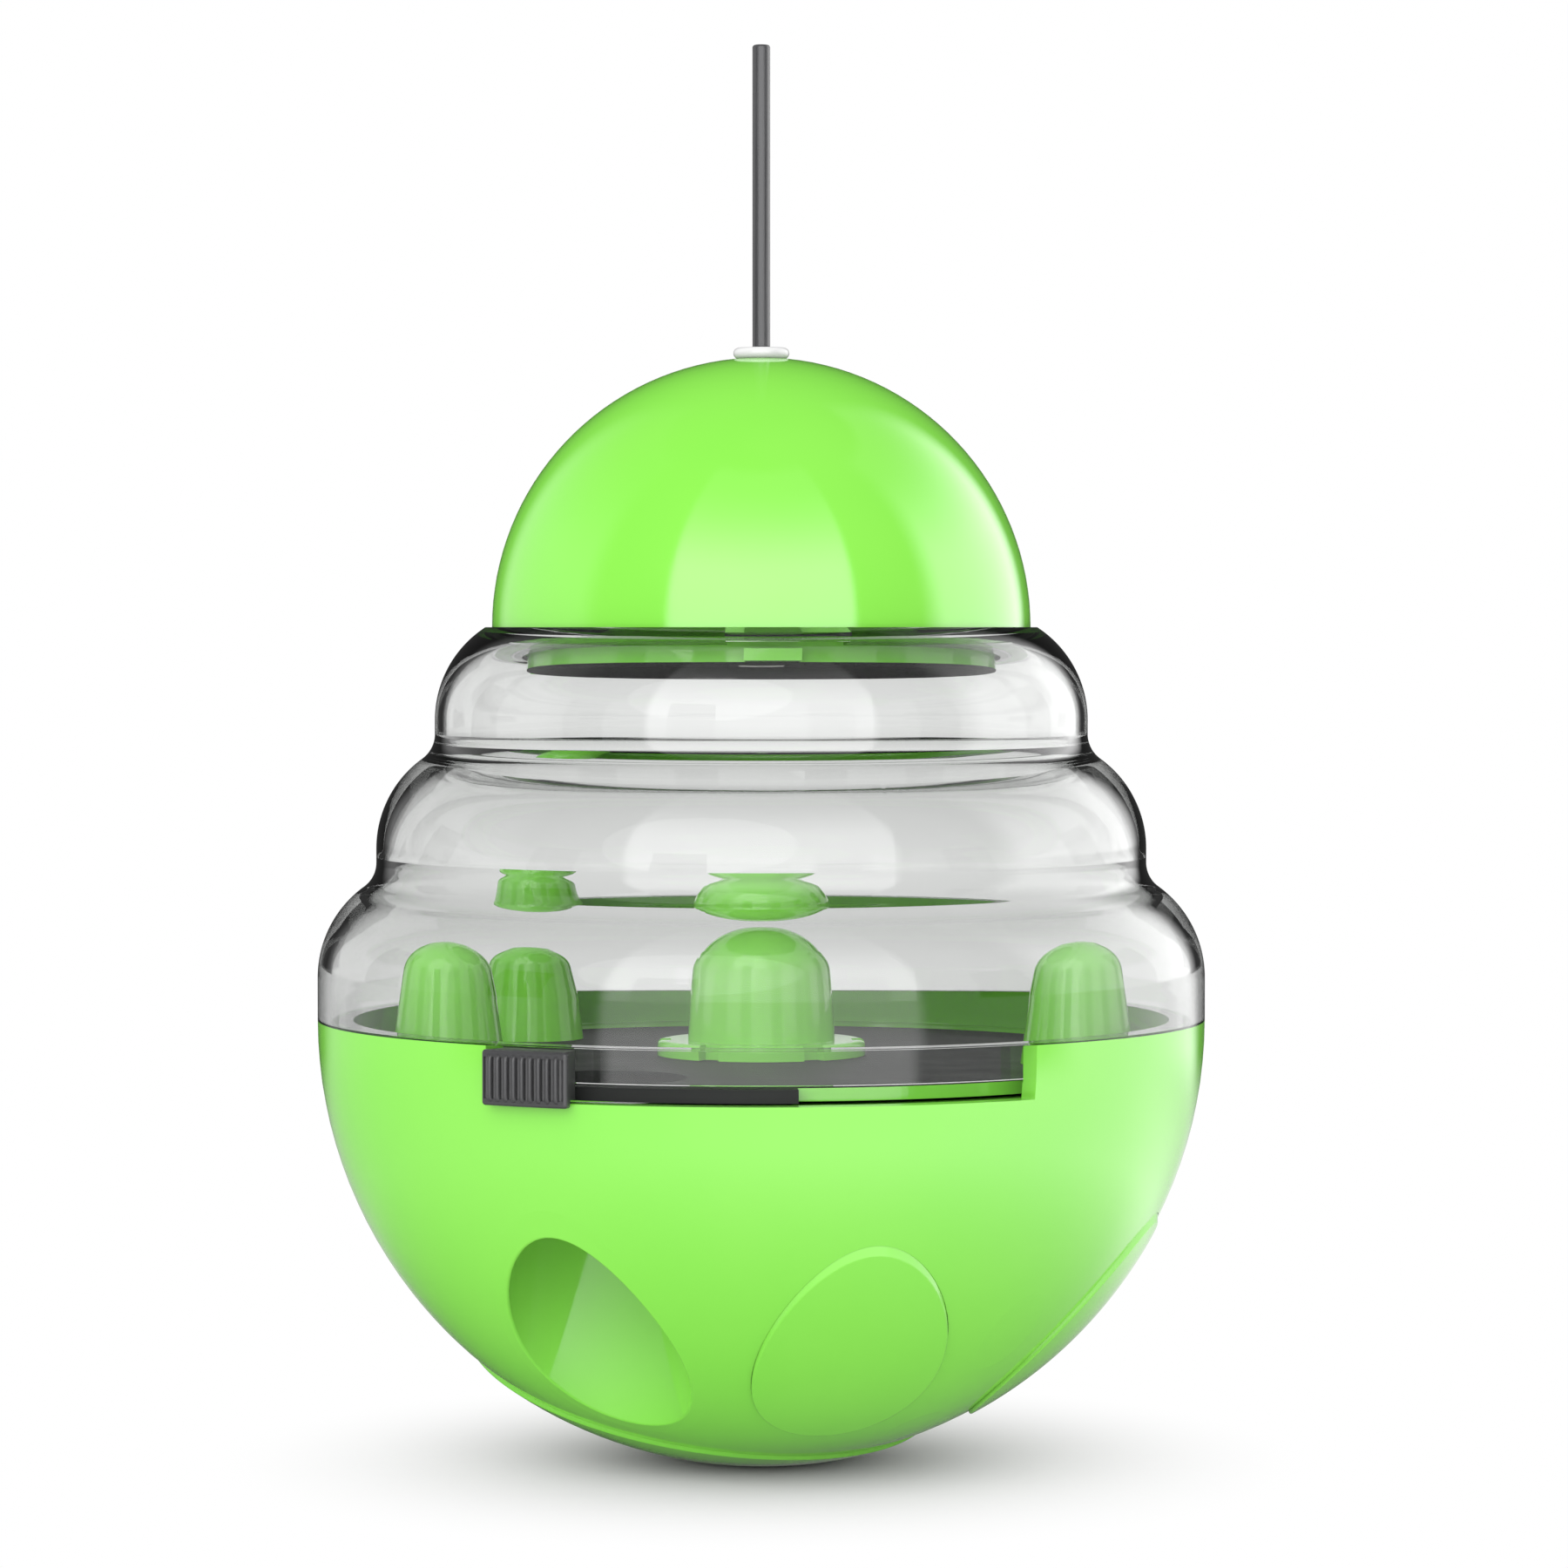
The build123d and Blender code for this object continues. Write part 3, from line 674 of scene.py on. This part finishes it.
def weld(obj: bpy.types.Object, sharp: float = CREASE) -> None:
    """Join coincident points, drop empty faces, turn the faces outwards and shade them smooth.

    Args:
        obj: Mesh object.
        sharp: Angle in degrees above which an edge stays sharp.
    """
    work = bmesh.new()
    work.from_mesh(obj.data)
    bmesh.ops.remove_doubles(work, verts=work.verts, dist=SAME_POINT)
    bmesh.ops.dissolve_degenerate(work, edges=work.edges, dist=NO_LENGTH)
    bmesh.ops.recalc_face_normals(work, faces=work.faces)
    work.to_mesh(obj.data)
    work.free()
    obj.data.shade_smooth()
    obj.data.set_sharp_from_angle(angle=math.radians(sharp))


def all_round(columns: int, extra: Iterable[float] = ()) -> list[float]:
    """Azimuths set out evenly round the axis, with more where a feature starts or stops.

    Args:
        columns: Number of even steps.
        extra: Further azimuths in degrees.

    Returns:
        The azimuths in rising order.
    """
    even = {round(k * 360.0 / columns, 4) for k in range(columns)}
    return sorted(even | {round(a % 360.0, 4) for a in extra})


@dataclass
class Assembly:
    """Group of frame nodes that belong together, with the finish of each."""

    nodes: dict[str, Slot]

    def build(self) -> None:
        """Dress every node of the group and report it."""
        for name, slot in self.nodes.items():
            PAINT.coat(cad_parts[name], slot)
            LOG.info("dressed %s in %s", name, slot.value)


@dataclass
class ClearChamber:
    """Clear three-tier treat chamber with its spigot, lip and lug entries, in millimetres."""

    wall_r: float = 47.5
    step: float = 6.27
    tiers: int = 3
    seam_z: float = 47.5
    low_wall: float = 4.55
    pitch: float = 13.718
    shoulder_r: float = 11.8
    notch_r: float = 3.3
    wall: float = 0.9
    inner_r: float = 11.93
    inner_drop: float = 1.39
    inner_turn: tuple[float, ...] = (48.25, 60.0)
    low_r: float = 8.9
    low_turn: float = 32.0
    ridge_run: tuple[float, ...] = (1.66, 0.0)
    ridge_low: tuple[float, ...] = (3.7, 1.0)
    ridge_high: tuple[float, ...] = (5.6, 3.0)
    top_bend: float = 9.8
    top_z: float = 89.4
    lip: float = 1.5
    edge: float = 0.2
    mouth_r: float = 25.6
    entry_r: float = 27.8
    entry_az: float = 5.6
    entry_half: float = 13.3
    entry_slip: float = 0.02
    entries: int = 3
    spigot_r: float = 45.2
    spigot_in_r: float = 43.7
    spigot_z: float = 43.9
    foot: float = 0.15
    columns: int = 288
    crease: float = 10.0
    shoulder_steps: int = 28
    notch_steps: int = 14
    last_steps: int = 34
    low_steps: int = 16
    inner_steps: int = 30
    ridge_steps: tuple[int, int] = (24, 12)
    top_steps: int = 40
    edge_steps: int = 4

    def outer_line(self) -> list[Point]:
        """Follow the outside of the tiers.

        Returns:
            Points from the lowest wall to the top.
        """
        both = self.shoulder_r + self.notch_r
        turn = math.degrees(math.acos(1.0 - self.step / both))
        points: list[Point] = []
        for tier in range(self.tiers):
            r = self.wall_r - self.step * tier
            bend = self.seam_z + self.low_wall + self.pitch * tier
            if tier + 1 < self.tiers:
                points += arc((r - self.shoulder_r, bend), (self.shoulder_r,) * 2, 0.0, turn,
                              self.shoulder_steps)
                hollow = (r - self.step + self.notch_r, bend + both * math.sin(math.radians(turn)))
                points += arc(hollow, (self.notch_r,) * 2, 180.0 + turn, 180.0, self.notch_steps)[1:]
            else:
                last = math.degrees(math.asin((self.top_z - bend) / self.shoulder_r))
                points += arc((r - self.shoulder_r, bend), (self.shoulder_r,) * 2, 0.0, last,
                              self.last_steps)
        return points

    def inner_line(self) -> list[Point]:
        """Follow the inside of the tiers, with the round ridge inside each notch.

        Returns:
            Points from the lowest wall to the underside of the lip.
        """
        low = math.radians(self.low_turn)
        tighter = self.inner_r - self.low_r
        low_r = self.wall_r - self.wall - self.inner_r + tighter * math.cos(low)
        low_z = self.seam_z + self.low_wall - self.inner_drop + tighter * math.sin(low)
        points = arc((low_r, low_z), (self.low_r,) * 2, 0.0, self.low_turn, self.low_steps)[:-1]
        start = self.low_turn
        for tier in range(self.tiers - 1):
            next_r = self.wall_r - self.step * (tier + 1) - self.wall
            mid_r = next_r + self.step - self.inner_r
            mid_z = self.seam_z + self.low_wall + self.pitch * tier - self.inner_drop
            stop, run = self.inner_turn[tier], self.ridge_run[tier]
            points += arc((mid_r, mid_z), (self.inner_r,) * 2, start, stop, self.inner_steps)
            turn = math.radians(stop)
            under, over = self.ridge_low[tier], self.ridge_high[tier]
            ridge_r = points[-1][0] - run * math.sin(turn) - under * (1.0 - math.cos(turn))
            ridge_z = points[-1][1] + run * math.cos(turn) + under * math.sin(turn)
            points += arc((ridge_r + under, ridge_z), (under,) * 2, 180.0 + stop, 180.0,
                          self.ridge_steps[0])
            if tier + 2 < self.tiers:
                above = (next_r - self.inner_r, mid_z + self.pitch)
                corner_z = meeting_point(above, self.inner_r, (ridge_r + over, ridge_z), over)[1]
                start = math.degrees(math.asin((corner_z - above[1]) / self.inner_r))
            else:
                corner_z = ridge_z + math.sqrt(over ** 2 - (ridge_r + over - next_r) ** 2)
            back = math.degrees(math.asin((corner_z - ridge_z) / over))
            points += arc((ridge_r + over, ridge_z), (over,) * 2, 180.0, 180.0 - back,
                          self.ridge_steps[1])[1:]
        top_z = self.seam_z + self.low_wall + self.pitch * (self.tiers - 1)
        lip_z = self.top_z - self.lip
        last = math.degrees(math.asin((lip_z - top_z) / self.top_bend))
        points += arc((next_r - self.top_bend, top_z), (self.top_bend,) * 2, 0.0, last,
                      self.top_steps)
        return points + [(self.mouth_r + self.edge, lip_z)]

    def mouth(self, azimuth: float) -> float:
        """Give the radius of the mouth at an azimuth, larger in the lug entries.

        Args:
            azimuth: Azimuth in degrees.

        Returns:
            The radius.
        """
        apart = 360.0 / self.entries
        off = (azimuth - self.entry_az + apart / 2) % apart - apart / 2
        return self.entry_r if abs(off) <= self.entry_half else self.mouth_r

    def build(self) -> None:
        """Turn the chamber, dress it and let it stand for its node."""
        soft = self.edge
        low, foot_z = self.spigot_z, self.seam_z + self.foot
        inside = self.inner_line()
        section = [(self.spigot_in_r, foot_z), (self.spigot_in_r, low), (self.spigot_r, low)]
        section += [(self.spigot_r, self.seam_z), (self.wall_r, self.seam_z)] + self.outer_line()
        section += arc((self.mouth_r + soft, self.top_z - soft), (soft, soft), 90.0, 180.0,
                       self.edge_steps)
        section += inside[::-1] + [(inside[0][0], foot_z)]
        edges = [self.entry_az + k * 360.0 / self.entries + side * (self.entry_half + slip)
                 for k in range(self.entries) for side in (-1, 1) for slip in (0.0, self.entry_slip)]
        body = lathe("clear_chamber", section, all_round(self.columns, edges), self.mouth,
                     sharp=self.crease)
        PAINT.coat(body, Slot.CLEAR)
        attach(body, Body.BASE.value)
        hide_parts("chamber")
        LOG.info("built clear chamber with %d faces", len(body.data.polygons))


@dataclass
class KnobRibs:
    """Upright ribs on the face of the shutter knob, in millimetres and degrees."""

    azimuth: float = -29.3
    half_turn: float = 5.9
    margin: float = 0.8
    ribs: int = 9
    face_r: float = 48.7
    proud: float = 0.34
    sunk: float = 0.15
    half_width: float = 0.27
    low: float = 42.0
    high: float = 46.8
    crease: float = 50.0
    round_turns: tuple[int, int, int] = (-30, 211, 20)
    run_in: tuple[Point, ...] = ((0.0, 0.15), (0.12, 0.6), (0.35, 0.9), (0.7, 1.0))

    def build(self) -> None:
        """Build all the ribs as one piece, dress it and let it ride with the shutter."""
        points, faces = [], []
        pitch = 2 * (self.half_turn - self.margin) / self.ribs
        turns = [math.radians(a) for a in range(*self.round_turns)]
        across = [(math.cos(a), max(0.0, math.sin(a))) for a in turns]
        height = self.high - self.low
        along = [*self.run_in, *((height - z, share) for z, share in self.run_in[::-1])]
        for k in range(self.ribs):
            middle = self.azimuth - self.half_turn + self.margin + (k + 0.5) * pitch
            start = len(points)
            for z, share in along:
                for side, out in across:
                    a = math.radians(middle) + side * self.half_width / self.face_r
                    r = self.face_r - self.sunk + (out * (self.proud + self.sunk)) * share
                    points.append((r * math.sin(a) * MM, -r * math.cos(a) * MM, (self.low + z) * MM))
            wide = len(across)
            for i in range(len(along) - 1):
                for j in range(wide):
                    here, there = start + i * wide + j, start + i * wide + (j + 1) % wide
                    faces.append((here, there, there + wide, here + wide))
            faces.append(range(start + wide - 1, start - 1, -1))
            faces.append(range(start + (len(along) - 1) * wide, start + len(along) * wide))
        ribs = mesh_object("knob_ribs", points, faces)
        weld(ribs, self.crease)
        PAINT.coat(ribs, Slot.DARK)
        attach(ribs, Body.SHUTTER.value)
        LOG.info("built %d knob ribs", self.ribs)


@dataclass
class PlateBand:
    """Green band on the shutter plate's edge, right of the knob's arm, in millimetres and degrees."""

    from_az: float = 4.6
    to_az: float = 64.0
    steps: int = 60
    inner_r: float = 41.8
    outer_r: float = 42.12
    low: float = 42.14
    high: float = 43.46

    def build(self) -> None:
        """Build the curved band, dress it and let it ride with the shutter."""
        corners = [(self.inner_r, self.low), (self.outer_r, self.low)]
        corners += [(self.outer_r, self.high), (self.inner_r, self.high)]
        points, faces = [], []
        for k in range(self.steps + 1):
            az = math.radians(self.from_az + (self.to_az - self.from_az) * k / self.steps)
            points += [(r * math.sin(az) * MM, -r * math.cos(az) * MM, z * MM) for r, z in corners]
        for k in range(self.steps):
            here, there = 4 * k, 4 * (k + 1)
            faces += [(here + c, there + c, there + (c + 1) % 4, here + (c + 1) % 4)
                      for c in range(4)]
        faces += [(0, 1, 2, 3), tuple(4 * self.steps + c for c in (3, 2, 1, 0))]
        band = mesh_object("plate_band", points, faces)
        PAINT.coat(band, Slot.GREEN)
        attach(band, Body.SHUTTER.value)
        LOG.info("built plate band with %d faces", len(band.data.polygons))


@dataclass
class LinerRim:
    """Turned-down rim of the dark liner inside the lid skirt, in millimetres."""

    outer_r: float = 25.2
    groove_r: float = 23.87
    inner_r: float = 23.1
    low: float = 85.85
    skirt_z: float = 86.07
    high: float = 88.05
    edge: float = 0.1
    edge_steps: int = 4
    columns: int = 144

    def build(self) -> None:
        """Turn the rim, dress it and let it ride with the lid."""
        soft = self.edge
        section = arc((self.inner_r + soft, self.low + soft), (soft, soft), 180.0, 270.0,
                      self.edge_steps)
        section += arc((self.outer_r - soft, self.low + soft), (soft, soft), 270.0, 360.0,
                       self.edge_steps)
        section += [(self.outer_r, self.skirt_z), (self.groove_r, self.skirt_z)]
        section += [(self.groove_r, self.high), (self.inner_r, self.high)]
        rim = lathe("liner_rim", section, all_round(self.columns))
        PAINT.coat(rim, Slot.LINER)
        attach(rim, Body.LID.value)
        LOG.info("built liner rim with %d faces", len(rim.data.polygons))


@dataclass
class WandGrommet:
    """White bush that holds the wand in the dome, in millimetres."""

    flange_r: float = 3.0
    seat_z: float = 118.09
    top_z: float = 119.3
    shank_r: float = 2.2
    shank_z: float = 113.49
    shank_lead: Point = (0.3, 0.4)
    bore_r: float = 0.75
    lead: float = 0.35
    edge_steps: int = 18
    lead_steps: int = 6
    columns: int = 96

    def build(self) -> None:
        """Turn the bush with its full round edge, dress it and let it stand for its node."""
        half = (self.top_z - self.seat_z) / 2
        middle = self.seat_z + half
        section = [(self.bore_r, self.shank_z), (self.shank_r - self.shank_lead[0], self.shank_z)]
        section += [(self.shank_r, self.shank_z + self.shank_lead[1]), (self.shank_r, self.seat_z)]
        section += arc((self.flange_r - half, middle), (half, half), 270.0, 450.0, self.edge_steps)
        section += arc((self.bore_r + self.lead, self.top_z - self.lead), (self.lead, self.lead),
                       90.0, 180.0, self.lead_steps)
        bush = lathe("grommet_bush", section, all_round(self.columns))
        PAINT.coat(bush, Slot.WHITE)
        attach(bush, Body.LID.value)
        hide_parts("wand_grommet")
        LOG.info("built grommet with %d faces", len(bush.data.polygons))


@dataclass(frozen=True)
class SoftBox:
    """One bright face of the reflection tent, by azimuth from the front and height, in degrees."""

    azimuth: float
    half: float
    top: float
    level: float
    soft: float


@dataclass(frozen=True)
class DarkCards:
    """One ring of dark upright cards, in pairs about the front, sides and back, in degrees."""

    name: str
    azimuth: float
    half: float
    level: float


@dataclass
class Studio:
    """Floor, world, lamp, reflection tent, dark cards and the camera, in metres and degrees."""

    ambient: float = 0.74
    floor_r: float = 6.0
    floor_sides: int = 96
    floor_fade: Range = (0.004, 0.060)
    floor_tones: tuple[Colour, Colour] = ((0.955, 0.955, 0.955), (0.965, 0.965, 0.965))
    speck_scale: float = 300.0
    lamp: float = 1.05
    lamp_spread: float = 55.0
    lamp_way: Triple = (0.30, 0.80, -0.52)
    tent_r: float = 2.2
    tent_columns: int = 64
    tent_rows: int = 32
    tent_hole: float = 0.002
    tent_lift: float = 0.0005
    room_grey: float = 0.04
    floor_share: float = 0.65
    wall_foot: float = 0.03
    floor_near: Range = (0.03, 0.12)
    near_level: float = 0.07
    floor_far: Range = (0.20, 0.50)
    floor_glow: Range = (0.45, 2.1)
    glow_turn: Range = (-100.0, 90.0)
    fade_turn: Range = (105.0, 150.0)
    fade_level: float = 0.4
    boxes: tuple[SoftBox, ...] = (SoftBox(0.0, 40.0, 66.0, level=3.5, soft=2.0),
                                  SoftBox(112.0, 34.0, 60.0, level=3.2, soft=8.0),
                                  SoftBox(-112.0, 34.0, 60.0, level=0.8, soft=8.0))
    box_parts: float = 3.0
    box_top_level: float = 0.1
    box_edge: float = 0.04
    card_rings: tuple[DarkCards, ...] = (DarkCards("dim_cards", 20.5, 4.0, level=0.05),
                                         DarkCards("dark_cards", 28.75, 4.25, level=0.005))
    card_sides: int = 4
    card_r: float = 1.2
    card_top: float = 0.62
    camera_at: Triple = (0.0, -0.576, 0.0894)
    lens: float = 123.27
    sensor: float = 36.0
    clip: Range = (0.01, 50.0)
    pitch: float = 1.673
    yaw: float = 0.2417

    def build(self) -> None:
        """Set up everything around the object."""
        self.world()
        self.floor()
        self.lamps()
        self.tent()
        self.cards()
        self.camera()
        bpy.context.scene.view_settings.view_transform = "Standard"

    def world(self) -> None:
        """White background for what is seen, a plain even light for what is lit."""
        world = bpy.data.worlds.new("studio_world")
        bpy.context.scene.world = world
        graph = Graph(world)
        even = graph.add("Background", in_Color=WHITE, in_Strength=self.ambient)
        white = graph.add("Background", in_Color=WHITE, in_Strength=1.0)
        mix = graph.add("MixShader", in_Fac=graph.seen(), in_1=even.outputs[0], in_2=white.outputs[0])
        graph.add("OutputWorld", in_Surface=mix.outputs[0])

    def floor(self) -> None:
        """Pale floor that keeps the shadow and fades to white far out."""
        sheet = disc("floor", self.floor_r, self.floor_sides)
        made = bpy.data.materials.new("floor_white")
        graph = Graph(made)
        place = graph.add("TexCoord").outputs["Object"]
        reach = graph.add("VectorMath", operation="LENGTH", in_0=place).outputs["Value"]
        far = graph.span(reach, *self.floor_fade)
        speck = graph.span(graph.noise(place, self.speck_scale), *NOISE_MIDDLE)
        near = graph.add("BsdfDiffuse", in_Color=graph.blend(speck, *self.floor_tones))
        white = graph.add("Emission", in_Color=WHITE, in_Strength=1.0)
        mix = graph.add("MixShader", in_Fac=graph.maths("MULTIPLY", far, graph.seen()),
                        in_1=near.outputs[0], in_2=white.outputs[0])
        graph.add("OutputMaterial", in_Surface=mix.outputs[0])
        made.cycles.emission_sampling = "NONE"
        sheet.data.materials.append(made)

    def lamps(self) -> None:
        """One broad soft lamp from above the front left."""
        data = bpy.data.lights.new("key_lamp", "SUN")
        data.energy = self.lamp
        data.angle = math.radians(self.lamp_spread)
        lamp = bpy.data.objects.new("key_lamp", data)
        bpy.context.scene.collection.objects.link(lamp)
        lamp.rotation_euler = Vector(self.lamp_way).to_track_quat("-Z", "Y").to_euler()
        lamp.visible_glossy = False

    def tent(self) -> None:
        """Grey room with soft boxes, seen only in reflections."""
        room = dome("reflection_tent", self.tent_r, self.tent_columns, self.tent_rows, self.tent_hole,
                    self.tent_lift)
        made = bpy.data.materials.new("tent_grey")
        graph = Graph(made)
        place = graph.add("TexCoord").outputs["Object"]
        way = graph.add("VectorMath", operation="NORMALIZE", in_0=place).outputs["Vector"]
        axes = graph.add("SeparateXYZ", in_0=way)
        x, y, z = (axes.outputs[k] for k in range(3))
        reach = graph.add("VectorMath", operation="LENGTH", in_0=place).outputs["Value"]
        turn = graph.maths("ARCTAN2", x, graph.maths("MULTIPLY", y, -1.0))
        turn = graph.maths("MULTIPLY", turn, 180.0 / math.pi)
        far = graph.span(reach, *self.floor_far)
        share = graph.span(z, 0.0, self.wall_foot, self.floor_share, 1.0)
        share = graph.maths("MULTIPLY", far, share)
        close = graph.span(reach, *self.floor_near, self.near_level, 1.0)
        close = graph.maths("SUBTRACT", close, far)
        glow = graph.maths("MULTIPLY", graph.span(turn, *self.glow_turn, *self.floor_glow),
                           graph.span(turn, *self.fade_turn, 1.0, self.fade_level))
        total = graph.maths("ADD", graph.maths("MULTIPLY", close, glow), self.room_grey)
        for box in self.boxes:
            off = graph.maths("ABSOLUTE", graph.maths("SUBTRACT", turn, box.azimuth))
            across = graph.span(off, box.half - box.soft, box.half + box.soft, 1.0, 0.0)
            even_z, top_z = (math.sin(math.radians(a)) for a in (box.top / self.box_parts, box.top))
            up = graph.span(z, even_z, top_z, 1.0, self.box_top_level)
            up = graph.maths("MULTIPLY", up, share)
            over = graph.span(z, top_z, top_z + self.box_edge, 1.0, 0.0)
            lit = graph.maths("MULTIPLY", graph.maths("MULTIPLY", across, up), over)
            total = graph.maths("ADD", graph.maths("MULTIPLY", lit, box.level), total)
        shown = graph.add("Emission", in_Color=WHITE, in_Strength=total)
        graph.add("OutputMaterial", in_Surface=shown.outputs[0])
        made.cycles.emission_sampling = "NONE"
        room.data.materials.append(made)
        only_for(room, glossy=True)

    def cards(self) -> None:
        """Dark upright cards round the object, seen only through the clear plastic."""
        for cards in self.card_rings:
            places = [turn * 360.0 / self.card_sides + side * cards.azimuth
                      for turn in range(self.card_sides) for side in (-1, 1)]
            ring = panels(cards.name, self.card_r, 0.0, self.card_top, places, cards.half)
            made = bpy.data.materials.new(cards.name)
            graph = Graph(made)
            glow = graph.add("Emission", in_Color=(*(cards.level,) * 3, 1.0), in_Strength=1.0)
            graph.add("OutputMaterial", in_Surface=glow.outputs[0])
            made.cycles.emission_sampling = "NONE"
            ring.data.materials.append(made)
            only_for(ring, transmission=True)

    def camera(self) -> None:
        """Camera at the height of the lid seam, in front."""
        data = bpy.data.cameras.new("front_camera")
        data.lens = self.lens
        data.sensor_width = self.sensor
        data.clip_start, data.clip_end = self.clip
        camera = bpy.data.objects.new("front_camera", data)
        bpy.context.scene.collection.objects.link(camera)
        camera.location = self.camera_at
        camera.rotation_euler = (math.radians(90.0 - self.pitch), 0.0, math.radians(-self.yaw))
        bpy.context.scene.camera = camera


def main() -> None:
    """Build the toy's sub-assemblies, then the studio."""
    logging.basicConfig(level=logging.INFO, format="%(name)s %(message)s")
    Assembly({"base_shell": Slot.GREEN, "bottom_pad": Slot.GREEN, "front_plug": Slot.GREEN,
              "side_plug": Slot.GREEN, "deck": Slot.GREEN, "hub_cap": Slot.GREEN,
              "ballast": Slot.IRON, "ballast_clamp": Slot.CLAMP, "ballast_screws": Slot.SCREW,
              "deck_screws": Slot.SCREW, "hub_screw": Slot.SCREW}).build()
    Assembly({"shutter_plate": Slot.DARK, "shutter_knob": Slot.DARK, "left_post": Slot.GREEN,
              "right_post": Slot.GREEN, "rear_post": Slot.GREEN}).build()
    PAINT.coat_with(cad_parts["shutter_plate"], PLATE_FINISH)
    KnobRibs().build()
    PlateBand().build()
    Assembly({"lid_seal": Slot.RUBBER, "lid_dome": Slot.GREEN, "lid_insert": Slot.GREEN,
              "lid_liner": Slot.LINER, "lid_screws": Slot.SCREW}).build()
    LinerRim().build()
    WandGrommet().build()
    Assembly({"wand_rod": Slot.WAND}).build()
    ClearChamber().build()
    Studio().build()


if __name__ == "__main__":
    main()
